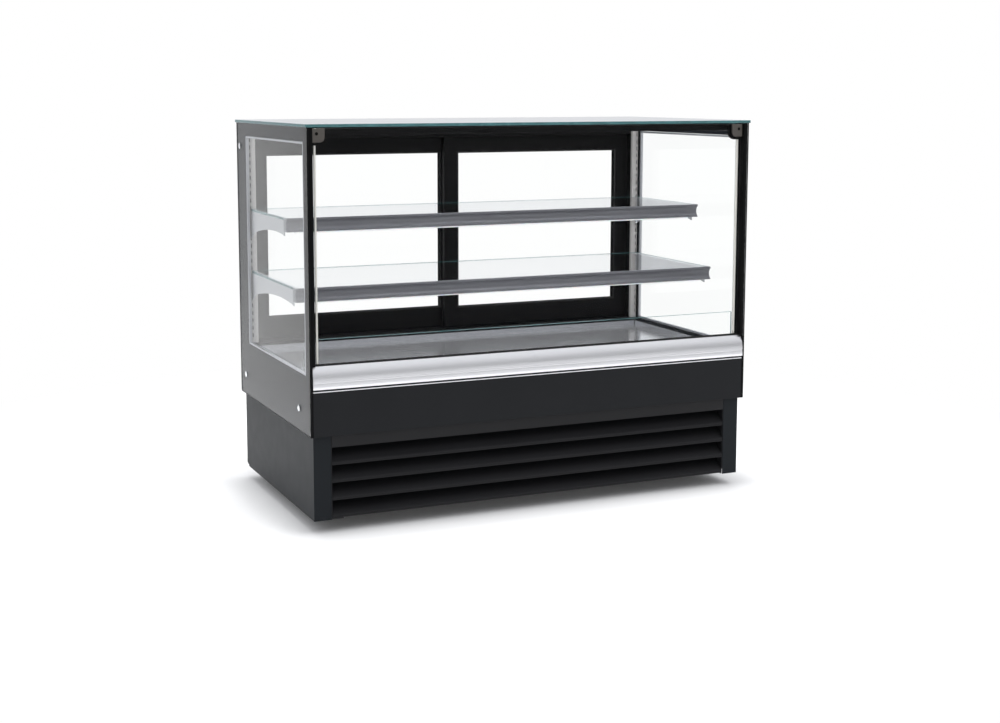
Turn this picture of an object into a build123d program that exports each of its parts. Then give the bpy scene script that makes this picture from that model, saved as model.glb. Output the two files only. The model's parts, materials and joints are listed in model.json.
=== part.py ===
"""Refrigerated cake display case with square glass.

Millimetres, +Z up, +Y to the back, origin on the floor under the middle of the case.
"""

from build123d import *
from math import hypot, radians, tan
import os

os.makedirs("parts", exist_ok=True)

# Overall sizes
case_width = 1500.0
case_depth = 786.0
case_height = 1216.0
foot_height = 40.0
base_height = 257.5
top_glass_thick = 9.0
top_overhang = 4.0
top_glass_corner = 3.0
glass_edge = 0.8
frame_edge = 1.0
panel_edge = 1.2

# Side walls: outer glass, painted frame with a window, inner pane
side_glass_thick = 5.0
side_frame_thick = 10.0
inner_pane_thick = 4.0
window_front_border = 48.0
window_back_border = 100.0
window_sill_height = 175.5
window_head_border = 41.5
pane_lap = 15.0
cap_diameter = 20.0
cap_height = 2.6
cap_edge = 1.0
cap_stud_diameter = 8.0
cap_hole_clearance = 0.5
cap_low_height = 68.5
cap_high_drop = 77.0
cap_front_setback = 116.0
cap_back_setback = 67.0
cap_top_setback = 38.0

# Front posts and the lift-up front glass
post_width = 13.0
post_depth = 30.0
front_glass_thick = 6.0
front_glass_setback = 15.0
front_glass_side_gap = 3.0
glass_top_gap = 4.0
glass_bottom_gap = 4.0
gasket_wall = 2.0
gasket_gap = 0.6
gasket_cover = 1.0
gasket_edge = 0.8
seal_width = 6.0
seal_inset = 9.0
plate_thick = 6.0
plate_width = 38.0
plate_height = 40.0
plate_corner = 15.0
plate_side_gap = 1.4
plate_edge = 0.7
plate_screw_diameter = 11.0
plate_screw_depth = 4.5
plate_screw_drop = 15.0
plate_screw_inset = 13.5
backing_margin = 9.0
backing_thick = 6.0
pivot_drop = 32.0
pivot_setback = 24.0
pivot_diameter = 4.0
pivot_reach = 12.0
pivot_clearance = 0.08
pivot_end_gap = 0.5

# Head of the case
header_setback = 54.0
header_depth = 40.0
header_height = 24.0
header_edge = 2.0
light_width = 24.0
light_thick = 6.0
light_end_gap = 30.0

# Insulated well, deck and low front glass
well_front_setback = 14.0
well_back_setback = 14.0
well_height = 147.5
well_wall = 40.0
well_floor = 37.5
well_sheet = 1.5
sheet = 1.5
liner_flange = 14.0
deck_back_setback = 86.0
deck_side_gap = 0.5
deck_rim = 14.0
deck_corner = 8.0
air_slot_length = 40.0
air_slot_width = 7.0
air_slot_pitch = 62.0
air_slot_count = 22
air_slot_inset = 26.0
low_glass_thick = 6.0
low_glass_height = 135.0
low_glass_side_gap = 14.0
channel_wall = 2.0
channel_height = 30.0
channel_floor = 5.0

# Bumper and lower panels
bumper_half_gap = 9.0
bumper_height = 69.0
bumper_proud = 4.0
bumper_depth = 28.0
bumper_bottom_lap = 6.0
bumper_gap = 5.0
bumper_curve_height = 46.0
bumper_curve_setback = 14.0
bumper_groove_height = 4.0
bumper_groove_depth = 3.0
bumper_band_lean = 1.0
bumper_edge = 2.0
bumper_wall = 3.0
panel_sheet = 1.5

# Rear door track, jambs and doors
sill_front_setback = 85.0
sill_height = 30.0
jamb_width = 27.0
jamb_setback = 80.0
door_thick = 22.0
inner_track_setback = 56.0
outer_track_setback = 28.0
door_side_gap = 2.0
door_floor_gap = 5.0
door_head_gap = 3.0
door_overlap = 48.0
door_stile = 49.0
door_bottom_rail = 65.0
door_top_rail = 51.0
rear_header_height = 54.0
door_pane_thick = 8.0
door_pane_lap = 10.0
glide_thick = 6.0
glide_end_gap = 2.0
track_clearance = 0.3
track_depth = 10.0
door_lift_room = 2.0
pull_width = 18.0
pull_height = 120.0
pull_depth = 8.0
pull_inset = 15.0

# Shelves
upright_width = 23.0
upright_depth = 12.0
upright_wall = 2.0
upright_head_drop = 31.0
slot_width = 3.6
slot_height = 14.0
slot_pitch = 25.0
slot_line_inset = 5.0
shelf_glass_thick = 8.0
shelf_side_gap = 1.5
shelf_back_gap = 2.0
shelf_upper_height = 924.0
shelf_lower_height = 718.0
shelf_upper_setback = 272.0
shelf_lower_setback = 183.0
profile_height = 43.0
profile_depth = 32.0
profile_lip = 4.0
profile_hollow = 9.0
profile_wall = 2.5
profile_top_band = 6.0
profile_low_band = 3.0
end_cap_thick = 2.0
bracket_thick = 2.6
bracket_root = 90.0
bracket_arch = 43.0
bracket_knee_share = 0.55
bracket_knee_drop = 0.72
bracket_arch_share = 2.2
bracket_hook = 47.0
bracket_hook_width = 22.0
bracket_hook_nose = 4.0
lug_count = 3
lug_height = 11.0
lug_reach = 3.0
bracket_top_flange = 16.0
bracket_pad = 2.0
shelf_light_width = 12.0
shelf_light_thick = 5.0
shelf_light_shift = 4.0

# Base
plinth_inset = 12.0
plinth_setback = 14.0
plinth_sheet = 2.0
plinth_fold = 1.2
stile_width = 55.0
rear_return = 38.0
plinth_step_length = 20.0
plinth_step_height = 9.0
angle_leg = 35.0
angle_thick = 3.0
unit_floor_margin = 20.0
base_frame_setback = 60.0
base_frame_lift = 4.0
grille_gap = 1.0
grille_rail = 37.5
grille_foot = 5.0
blade_count = 4
blade_sheet = 1.5
blade_inset = 0.5
blade_lip = 12.0
blade_reach = 38.0
blade_rise = 32.0
grille_tab_length = 36.0
grille_tab_height = 4.0
foot_disc_diameter = 44.0
foot_disc_height = 12.0
foot_stem_diameter = 10.0
foot_stem_clearance = 0.08
foot_nut_radius = 9.5
foot_nut_height = 8.0
foot_nut_drop = 14.0
foot_boss_diameter = 24.0
foot_boss_height = 18.0
foot_side_inset = 78.0
foot_front_setback = 200.0
foot_back_setback = 146.0
cross_bar_width = 60.0
vent_length = 90.0
vent_width = 8.0
vent_rows = 7
vent_columns = 5
vent_pitch_x = 120.0
vent_pitch_z = 22.0

# Refrigeration inside
fin_thick = 1.2
coil_tube_diameter = 9.0
evaporator_length = 1000.0
evaporator_depth = 130.0
evaporator_height = 75.0
evaporator_fins = 36
evaporator_gap = 60.0
fan_panel_setback = 400.0
evaporator_fan_diameter = 84.0
condenser_width = 300.0
condenser_height = 200.0
condenser_depth = 44.0
condenser_fins = 22
condenser_setback = 110.0
condenser_x = -420.0
coil_tube_reach = 6.0
coil_row_pitch = 25.0
coil_column_pitch = 22.0
condenser_fan_diameter = 170.0
shroud_depth = 40.0
shroud_post = 5.0
shroud_post_inset = 1.5
fan_clearance = 5.0
fan_hub_ratio = 0.32
fan_hub_depth = 16.0
fan_blades = 5
fan_blade_pitch = 32.0
fan_blade_thick = 1.6
fan_chord_ratio = 0.26
fan_root_lap = 3.0
fan_hub_edge = 2.0
fan_shaft_diameter = 8.0
fan_shaft_clearance = 0.05
fan_shaft_length = 32.0
fan_ring_depth = 20.0
motor_diameter = 68.0
small_motor_diameter = 32.0
motor_length = 34.0
motor_gap = 6.0
motor_cap = 4.0
motor_arm = 8.0
compressor_diameter = 150.0
compressor_height = 170.0
compressor_x = -110.0
compressor_setback = 330.0
compressor_short_diameter = 134.0
compressor_dome = 40.0
compressor_foot = 3.0
compressor_foot_width = 180.0
compressor_foot_depth = 150.0
compressor_foot_corner = 14.0
terminal_width = 56.0
terminal_height = 60.0
terminal_lift = 60.0
terminal_lap = 12.0
terminal_proud = 28.0
grommet_height = 14.0
grommet_diameter = 22.0
pipe_diameter = 9.5
pipe_spread = 26.0
pipe_rise = 24.0
pipe_bend = 12.0

# Controls on the rear panel
control_width = 190.0
control_height = 80.0
control_x = 420.0
control_lift = 32.0
control_inset = 31.0
control_corner = 4.0
rocker_width = 20.0
rocker_height = 26.0
rocker_clearance = 0.6
rocker_drop = 4.0
rocker_face = 2.8
rocker_dish = 8.0
rocker_swing = 13.0
rocker_pocket = 10.0
rocker_pin_diameter = 3.0
rocker_pin_reach = 1.5
rocker_pin_clearance = 0.05
inlet_width = 27.0
inlet_height = 20.0
inlet_depth = 12.0
inlet_blade_pitch = 7.0
inlet_blade_width = 2.0
inlet_blade_drop = 3.0

# Places worked out from the sizes above
half = case_width / 2
front = -case_depth / 2
back = case_depth / 2
top_z = case_height - top_glass_thick
body_z = foot_height + base_height
glass_in = half - side_glass_thick
frame_in = glass_in - side_frame_thick
wall_in = frame_in - inner_pane_thick
well_top = body_z + well_height
liner_top = well_top + sheet
deck_top = liner_top + sheet
deck_rim_top = deck_top + deck_rim
bumper_bottom = well_top - bumper_bottom_lap
bumper_top = bumper_bottom + bumper_height
panel_top = bumper_bottom - bumper_gap
bumper_half = half - bumper_half_gap
post_in = glass_in - post_width
front_glass_half = post_in - front_glass_side_gap
front_glass_y = front + front_glass_setback
front_glass_back = front_glass_y + front_glass_thick
front_glass_bottom = bumper_top + glass_bottom_gap
front_glass_top = top_z - glass_top_gap
gasket_top = front_glass_bottom + gasket_cover
pivot_y = front + pivot_setback
pivot_z = top_z - pivot_drop
plate_outer = post_in - plate_side_gap
plate_inner = plate_outer - plate_width
plate_bottom = front_glass_top - plate_height
low_glass_half = wall_in - low_glass_side_gap
channel_front = front + bumper_depth
low_glass_y = channel_front + channel_wall
channel_back = low_glass_y + low_glass_thick + channel_wall
sill_front = back - sill_front_setback
sill_top = well_top + sill_height
jamb_in = frame_in - jamb_width
jamb_front = back - jamb_setback
deck_front = channel_back
deck_back = back - deck_back_setback
window_front = front + window_front_border
window_back = back - window_back_border
window_bottom = body_z + window_sill_height
window_top = top_z - window_head_border
shelf_half = wall_in - shelf_side_gap
upright_outer = wall_in
upright_inner = upright_outer - upright_width
upright_front = jamb_front - upright_depth
slot_line = upright_outer - slot_line_inset
upright_top = top_z - upright_head_drop
plinth_half = half - plinth_inset
plinth_front = front + plinth_setback
plinth_back = back - plinth_setback
frame_half = plinth_half - plinth_sheet
frame_front = front + base_frame_setback
frame_back = plinth_back - plinth_sheet
frame_bottom = foot_height + base_frame_lift
well_front = front + well_front_setback
well_back = back - well_back_setback
cavity_front = well_front + well_wall
cavity_back = deck_back - liner_flange / 2
cavity_half = frame_in - well_wall
cavity_floor = body_z + well_floor
door_bottom = sill_top + door_floor_gap
rear_header_bottom = top_z - rear_header_height
door_top = rear_header_bottom - door_head_gap
SIDES = (("left", -1), ("right", 1))
SHELVES = (
    ("upper", shelf_upper_height, shelf_upper_setback),
    ("lower", shelf_lower_height, shelf_lower_setback),
)


def block(x_span, y_span, z_span, mode=Mode.ADD):
    """Adds a box that fills three spans, each a pair of limits in any order."""
    middle = [(span[0] + span[1]) / 2 for span in (x_span, y_span, z_span)]
    length = [abs(span[1] - span[0]) for span in (x_span, y_span, z_span)]
    with Locations(tuple(middle)):
        Box(*length, mode=mode)


def rod(start, end, diameter, mode=Mode.ADD):
    """Adds a round bar between two points."""
    axis = Vector(*end) - Vector(*start)
    with Locations(Plane(origin=start, z_dir=axis)):
        Cylinder(diameter / 2, axis.length, mode=mode, align=(Align.CENTER, Align.CENTER, Align.MIN))


def cap_points():
    """Places of the three glass fixings of one side wall, as depth and height."""
    return (
        (back - cap_top_setback, top_z - cap_high_drop),
        (back - cap_back_setback, body_z + cap_low_height),
        (front + cap_front_setback, body_z + cap_low_height),
    )


# Top glass, with a fine polished edge
with BuildPart() as top_glass:
    with BuildSketch(Plane.XY.offset(top_z)):
        RectangleRounded(case_width + 2 * top_overhang, case_depth + 2 * top_overhang, top_glass_corner)
    extrude(amount=top_glass_thick)
    chamfer(top_glass.faces().sort_by(Axis.Z)[-1].edges(), glass_edge)
top_glass.part.label = "top_glass"
export_step(top_glass.part, "parts/top_glass.step")

# Front head rail with a groove for its light
header_front = front + header_setback
header_middle = header_front + header_depth / 2
with BuildPart() as front_header:
    block(
        (-frame_in, frame_in),
        (header_front, header_front + header_depth),
        (top_z - header_height, top_z),
    )
    chamfer(front_header.edges().filter_by(Axis.X).group_by(Axis.Z)[0], header_edge)
    block(
        (-wall_in + light_end_gap, wall_in - light_end_gap),
        (header_middle - light_width / 2, header_middle + light_width / 2),
        (top_z - header_height, top_z - header_height + light_thick),
        mode=Mode.SUBTRACT,
    )
front_header.part.label = "front_header"
export_step(front_header.part, "parts/front_header.step")

# Rear head rail with the two upper door grooves
inner_track_y = back - inner_track_setback + door_thick / 2
outer_track_y = back - outer_track_setback + door_thick / 2
track_width = glide_thick + 2 * track_clearance
with BuildPart() as rear_header:
    block((-jamb_in, jamb_in), (jamb_front, back), (rear_header_bottom, top_z))
    for track_y in (inner_track_y, outer_track_y):
        block(
            (-jamb_in, jamb_in),
            (track_y - track_width / 2, track_y + track_width / 2),
            (rear_header_bottom, rear_header_bottom + track_depth),
            mode=Mode.SUBTRACT,
        )
rear_header.part.label = "rear_header"
export_step(rear_header.part, "parts/rear_header.step")

# Side walls
for tag, side in SIDES:
    with BuildPart() as side_glass:
        block((side * glass_in, side * half), (front, back), (body_z, top_z))
        chamfer(side_glass.edges().filter_by(Axis.Z), glass_edge)
        for cap_y, cap_z in cap_points():
            rod(
                (side * glass_in, cap_y, cap_z),
                (side * half, cap_y, cap_z),
                cap_stud_diameter + 2 * cap_hole_clearance,
                mode=Mode.SUBTRACT,
            )
    side_glass.part.label = f"side_glass_{tag}"
    export_step(side_glass.part, f"parts/side_glass_{tag}.step")

    with BuildPart() as side_frame:
        block((side * frame_in, side * glass_in), (front + post_depth, back), (body_z, top_z))
        block(
            (side * frame_in, side * glass_in),
            (window_front, window_back),
            (window_bottom, window_top),
            mode=Mode.SUBTRACT,
        )
        for cap_y, cap_z in cap_points():
            rod(
                (side * frame_in, cap_y, cap_z),
                (side * glass_in, cap_y, cap_z),
                cap_stud_diameter + 2 * cap_hole_clearance,
                mode=Mode.SUBTRACT,
            )
    side_frame.part.label = f"side_frame_{tag}"
    export_step(side_frame.part, f"parts/side_frame_{tag}.step")

    with BuildPart() as front_post:
        block((side * post_in, side * glass_in), (front, front + post_depth), (bumper_top, top_z))
        chamfer(front_post.edges().filter_by(Axis.Z).group_by(Axis.Y)[0], frame_edge)
        rod(
            (side * post_in, pivot_y, pivot_z),
            (side * (plate_outer - pivot_reach + pivot_end_gap), pivot_y, pivot_z),
            pivot_diameter,
        )
        block((side * bumper_half, side * glass_in), (front, front + post_depth), (body_z, bumper_top))
    front_post.part.label = f"front_post_{tag}"
    export_step(front_post.part, f"parts/front_post_{tag}.step")

    with BuildPart() as rear_post:
        block((side * jamb_in, side * frame_in), (jamb_front, back), (sill_top, top_z))
        chamfer(rear_post.edges().filter_by(Axis.Z).group_by(Axis.Y)[-1], frame_edge)
    rear_post.part.label = f"rear_post_{tag}"
    export_step(rear_post.part, f"parts/rear_post_{tag}.step")

with BuildPart() as inner_panes:
    for tag, side in SIDES:
        block(
            (side * wall_in, side * frame_in),
            (front + post_depth, window_back + pane_lap),
            (window_bottom - pane_lap, window_top + pane_lap),
        )
inner_panes.part.label = "inner_panes"
export_step(inner_panes.part, "parts/inner_panes.step")

with BuildPart() as glass_caps:
    for tag, side in SIDES:
        for cap_y, cap_z in cap_points():
            rod((side * half, cap_y, cap_z), (side * (half + cap_height), cap_y, cap_z), cap_diameter)
            rod((side * frame_in, cap_y, cap_z), (side * half, cap_y, cap_z), cap_stud_diameter)
    outer_rims = glass_caps.edges().filter_by(lambda edge: abs(edge.center().X) > half + cap_height / 2)
    chamfer(outer_rims, cap_edge)
glass_caps.part.label = "glass_caps"
export_step(glass_caps.part, "parts/glass_caps.step")

# Front glass that lifts on the two top corner hinges
screw_x = plate_outer - plate_screw_inset
screw_z = front_glass_top - plate_screw_drop
with BuildPart() as front_glass:
    block(
        (-front_glass_half, front_glass_half),
        (front_glass_y, front_glass_back),
        (front_glass_bottom, front_glass_top),
    )
    chamfer(front_glass.edges().filter_by(Axis.Z), glass_edge)
front_glass.part.label = "front_glass"
export_step(front_glass.part, "parts/front_glass.step")

with BuildPart() as hinge_plates:
    for tag, side in SIDES:
        with BuildSketch(Plane.XZ.offset(-(front_glass_y - plate_thick))):
            with BuildLine():
                Polyline(
                    (side * plate_inner, plate_bottom + plate_corner),
                    (side * plate_inner, front_glass_top),
                    (side * plate_outer, front_glass_top),
                    (side * plate_outer, plate_bottom),
                    (side * (plate_inner + plate_corner), plate_bottom),
                )
                TangentArc(
                    (side * (plate_inner + plate_corner), plate_bottom),
                    (side * plate_inner, plate_bottom + plate_corner),
                    tangent=(-side, 0),
                )
            make_face()
        extrude(amount=-plate_thick)
    chamfer(hinge_plates.faces().sort_by(Axis.Y)[:2].edges(), plate_edge)
    for tag, side in SIDES:
        screw_head = (side * screw_x, front_glass_y - plate_thick, screw_z)
        with Locations(Plane(origin=screw_head, z_dir=(0, -1, 0))):
            CounterSinkHole(plate_screw_diameter / 4, plate_screw_diameter / 2, depth=plate_screw_depth)
hinge_plates.part.label = "hinge_plates"
export_step(hinge_plates.part, "parts/hinge_plates.step")

backing_inner = plate_inner - backing_margin
backing_bottom = plate_bottom - backing_margin
with BuildPart() as hinge_backings:
    for tag, side in SIDES:
        with BuildSketch(Plane.XZ.offset(-front_glass_back)):
            with BuildLine():
                Polyline(
                    (side * backing_inner, backing_bottom + plate_corner + backing_margin),
                    (side * backing_inner, front_glass_top),
                    (side * plate_outer, front_glass_top),
                    (side * plate_outer, backing_bottom),
                    (side * (backing_inner + plate_corner + backing_margin), backing_bottom),
                )
                TangentArc(
                    (side * (backing_inner + plate_corner + backing_margin), backing_bottom),
                    (side * backing_inner, backing_bottom + plate_corner + backing_margin),
                    tangent=(-side, 0),
                )
            make_face()
        extrude(amount=-backing_thick)
        rod(
            (side * plate_outer, pivot_y, pivot_z),
            (side * (plate_outer - pivot_reach), pivot_y, pivot_z),
            pivot_diameter + 2 * pivot_clearance,
            mode=Mode.SUBTRACT,
        )
hinge_backings.part.label = "hinge_backings"
export_step(hinge_backings.part, "parts/hinge_backings.step")

seal_outer = front_glass_half - seal_inset + seal_width / 2
with BuildPart() as glass_seals:
    for tag, side in SIDES:
        block(
            (side * (seal_outer - seal_width), side * seal_outer),
            (front_glass_back, front_glass_back + seal_width),
            (gasket_top, backing_bottom),
        )
glass_seals.part.label = "glass_seals"
export_step(glass_seals.part, "parts/glass_seals.step")

with BuildPart() as bottom_gasket:
    block(
        (-front_glass_half, front_glass_half),
        (front_glass_y - gasket_wall, front_glass_back + gasket_wall),
        (bumper_top + gasket_gap, gasket_top),
    )
    chamfer(bottom_gasket.edges().filter_by(Axis.X).group_by(Axis.Z)[-1], gasket_edge)
    block(
        (-front_glass_half, front_glass_half),
        (front_glass_y, front_glass_back),
        (front_glass_bottom, gasket_top),
        mode=Mode.SUBTRACT,
    )
bottom_gasket.part.label = "bottom_gasket"
export_step(bottom_gasket.part, "parts/bottom_gasket.step")

# Insulated well with its liner, and the display deck over it
with BuildPart() as well_body:
    block((-frame_in, frame_in), (well_front, well_back), (body_z, well_top))
    block(
        (-frame_in + well_sheet, frame_in - well_sheet),
        (well_front + well_sheet, well_back - well_sheet),
        (body_z + well_sheet, well_top - well_sheet),
        mode=Mode.SUBTRACT,
    )
    block(
        (-cavity_half, cavity_half),
        (cavity_front, cavity_back),
        (well_top - well_sheet, well_top),
        mode=Mode.SUBTRACT,
    )
well_body.part.label = "well_body"
export_step(well_body.part, "parts/well_body.step")

with BuildPart() as well_liner:
    block((-cavity_half, cavity_half), (cavity_front, cavity_back), (cavity_floor, liner_top))
    block(
        (-cavity_half - liner_flange, cavity_half + liner_flange),
        (cavity_front - liner_flange, cavity_back + liner_flange / 2),
        (well_top, liner_top),
    )
    block(
        (-cavity_half + sheet, cavity_half - sheet),
        (cavity_front + sheet, cavity_back - sheet),
        (cavity_floor + sheet, liner_top),
        mode=Mode.SUBTRACT,
    )
well_liner.part.label = "well_liner"
export_step(well_liner.part, "parts/well_liner.step")

deck_half = wall_in - deck_side_gap
with BuildPart() as deck_pan:
    block((-deck_half, deck_half), (deck_front, deck_back), (liner_top, deck_rim_top))
    fillet(deck_pan.edges().filter_by(Axis.Z), deck_corner)
    block(
        (-deck_half + sheet, deck_half - sheet),
        (deck_front + sheet, deck_back - sheet),
        (deck_top, deck_rim_top),
        mode=Mode.SUBTRACT,
    )
    for slot_y in (deck_front + air_slot_inset, deck_back - air_slot_inset):
        with BuildSketch(Plane.XY.offset(liner_top)):
            with Locations((0, slot_y)):
                with GridLocations(air_slot_pitch, 1, air_slot_count, 1):
                    SlotOverall(air_slot_length, air_slot_width)
        extrude(amount=sheet, mode=Mode.SUBTRACT)
deck_pan.part.label = "deck_pan"
export_step(deck_pan.part, "parts/deck_pan.step")

with BuildPart() as low_glass_channel:
    block(
        (-low_glass_half, low_glass_half),
        (channel_front, channel_back),
        (well_top, well_top + channel_height),
    )
    block(
        (-low_glass_half, low_glass_half),
        (low_glass_y, low_glass_y + low_glass_thick),
        (well_top + channel_floor, well_top + channel_height),
        mode=Mode.SUBTRACT,
    )
low_glass_channel.part.label = "low_glass_channel"
export_step(low_glass_channel.part, "parts/low_glass_channel.step")

with BuildPart() as low_glass:
    block(
        (-low_glass_half, low_glass_half),
        (low_glass_y, low_glass_y + low_glass_thick),
        (well_top + channel_floor, well_top + channel_floor + low_glass_height),
    )
    chamfer(low_glass.faces().sort_by(Axis.Z)[-1].edges().filter_by(Axis.X), glass_edge)
low_glass.part.label = "low_glass"
export_step(low_glass.part, "parts/low_glass.step")

# Bright bumper extrusion over the front edge of the well
bumper_face = front - bumper_proud
bumper_back = front + bumper_depth
curve_z = bumper_top - bumper_curve_height
band_z = curve_z - bumper_groove_height
hollow_front = bumper_face + bumper_curve_setback + bumper_wall
with BuildPart() as bumper:
    with BuildSketch(Plane.YZ):
        with BuildLine():
            TangentArc(
                (bumper_face, curve_z),
                (bumper_face + bumper_curve_setback, bumper_top),
                tangent=(0, 1),
            )
            Polyline(
                (bumper_face + bumper_curve_setback, bumper_top),
                (bumper_back, bumper_top),
                (bumper_back, well_top),
                (well_front, well_top),
                (well_front, bumper_bottom),
                (bumper_face + bumper_edge, bumper_bottom),
                (bumper_face, bumper_bottom + bumper_edge),
                (bumper_face, (bumper_bottom + band_z) / 2),
                (bumper_face + bumper_band_lean, band_z),
                (bumper_face + bumper_groove_depth, band_z),
                (bumper_face + bumper_groove_depth, curve_z),
                (bumper_face, curve_z),
            )
        make_face()
        with Locations(((hollow_front + bumper_back - bumper_wall) / 2, (well_top + bumper_top) / 2)):
            Rectangle(
                bumper_back - bumper_wall - hollow_front,
                bumper_top - well_top - 2 * bumper_wall,
                mode=Mode.SUBTRACT,
            )
    extrude(amount=bumper_half, both=True)
bumper.part.label = "bumper"
export_step(bumper.part, "parts/bumper.step")

with BuildPart() as front_panel:
    block((-bumper_half, bumper_half), (front, well_front), (body_z, panel_top))
    chamfer(front_panel.edges().filter_by(Axis.X).group_by(Axis.Y)[0], panel_edge)
    block(
        (-bumper_half + panel_sheet, bumper_half - panel_sheet),
        (front + panel_sheet, well_front),
        (body_z + panel_sheet, panel_top - panel_sheet),
        mode=Mode.SUBTRACT,
    )
front_panel.part.label = "front_panel"
export_step(front_panel.part, "parts/front_panel.step")

# Rear panel, with a cut-out for the controls
control_bottom = body_z + control_lift
with BuildPart() as rear_panel:
    block((-frame_in, frame_in), (well_back, back), (body_z, well_top))
    chamfer(rear_panel.edges().filter_by(Axis.X).group_by(Axis.Y)[-1], panel_edge)
    block(
        (-frame_in + panel_sheet, frame_in - panel_sheet),
        (well_back, back - panel_sheet),
        (body_z + panel_sheet, well_top - panel_sheet),
        mode=Mode.SUBTRACT,
    )
    block(
        (control_x - control_width / 2, control_x + control_width / 2),
        (well_back, back),
        (control_bottom, control_bottom + control_height),
        mode=Mode.SUBTRACT,
    )
rear_panel.part.label = "rear_panel"
export_step(rear_panel.part, "parts/rear_panel.step")

with BuildPart() as rear_sill:
    block((-deck_half, deck_half), (sill_front, back), (well_top, sill_top))
    for track_y in (inner_track_y, outer_track_y):
        block(
            (-deck_half, deck_half),
            (track_y - track_width / 2, track_y + track_width / 2),
            (sill_top - track_depth, sill_top),
            mode=Mode.SUBTRACT,
        )
rear_sill.part.label = "rear_sill"
export_step(rear_sill.part, "parts/rear_sill.step")

# Two sliding rear doors: the right one runs in the inner track, the left one in the outer track
door_width = jamb_in - door_side_gap + door_overlap / 2
for tag, side in SIDES:
    track_y = inner_track_y if side > 0 else outer_track_y
    shut_edge = side * (jamb_in - door_side_gap)
    lead_edge = shut_edge - side * door_width
    door_y = (track_y - door_thick / 2, track_y + door_thick / 2)
    window_x = (lead_edge + side * door_stile, shut_edge - side * door_stile)
    window_z = (door_bottom + door_bottom_rail, door_top - door_top_rail)
    pane_x = (window_x[0] - side * door_pane_lap, window_x[1] + side * door_pane_lap)
    pane_y = (track_y - door_pane_thick / 2, track_y + door_pane_thick / 2)
    pane_z = (window_z[0] - door_pane_lap, window_z[1] + door_pane_lap)
    pull_x = (shut_edge - side * pull_inset, shut_edge - side * (pull_inset + pull_width))
    pull_z = (door_bottom + door_top) / 2
    with BuildPart() as door_frame:
        block((lead_edge, shut_edge), door_y, (door_bottom, door_top))
        chamfer(door_frame.edges().filter_by(Axis.Z), frame_edge)
        block(
            (lead_edge + side * glide_end_gap, shut_edge - side * glide_end_gap),
            (track_y - glide_thick / 2, track_y + glide_thick / 2),
            (sill_top - track_depth + track_clearance, rear_header_bottom + track_depth - door_lift_room),
        )
        block(window_x, door_y, window_z, mode=Mode.SUBTRACT)
        block(pane_x, pane_y, pane_z, mode=Mode.SUBTRACT)
        block(
            pull_x,
            (door_y[1] - pull_depth, door_y[1]),
            (pull_z - pull_height / 2, pull_z + pull_height / 2),
            mode=Mode.SUBTRACT,
        )
    door_frame.part.label = f"door_frame_{tag}"
    export_step(door_frame.part, f"parts/door_frame_{tag}.step")

    with BuildPart() as door_pane:
        block(pane_x, pane_y, pane_z)
    door_pane.part.label = f"door_pane_{tag}"
    export_step(door_pane.part, f"parts/door_pane_{tag}.step")

# Slotted uprights
slot_count = int((upright_top - sill_top - slot_pitch) / slot_pitch)
for tag, side in SIDES:
    with BuildPart() as upright:
        block(
            (side * upright_inner, side * upright_outer),
            (upright_front, jamb_front),
            (sill_top, upright_top),
        )
        block(
            (side * (upright_inner + upright_wall), side * (upright_outer - upright_wall)),
            (upright_front + upright_wall, jamb_front),
            (sill_top, upright_top),
            mode=Mode.SUBTRACT,
        )
        with BuildSketch(Plane.XZ.offset(-upright_front)):
            with Locations((side * slot_line, (sill_top + upright_top) / 2)):
                with GridLocations(1, slot_pitch, 1, slot_count):
                    Rectangle(slot_width, slot_height)
        extrude(amount=-upright_wall, mode=Mode.SUBTRACT)
    upright.part.label = f"upright_{tag}"
    export_step(upright.part, f"parts/upright_{tag}.step")

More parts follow.
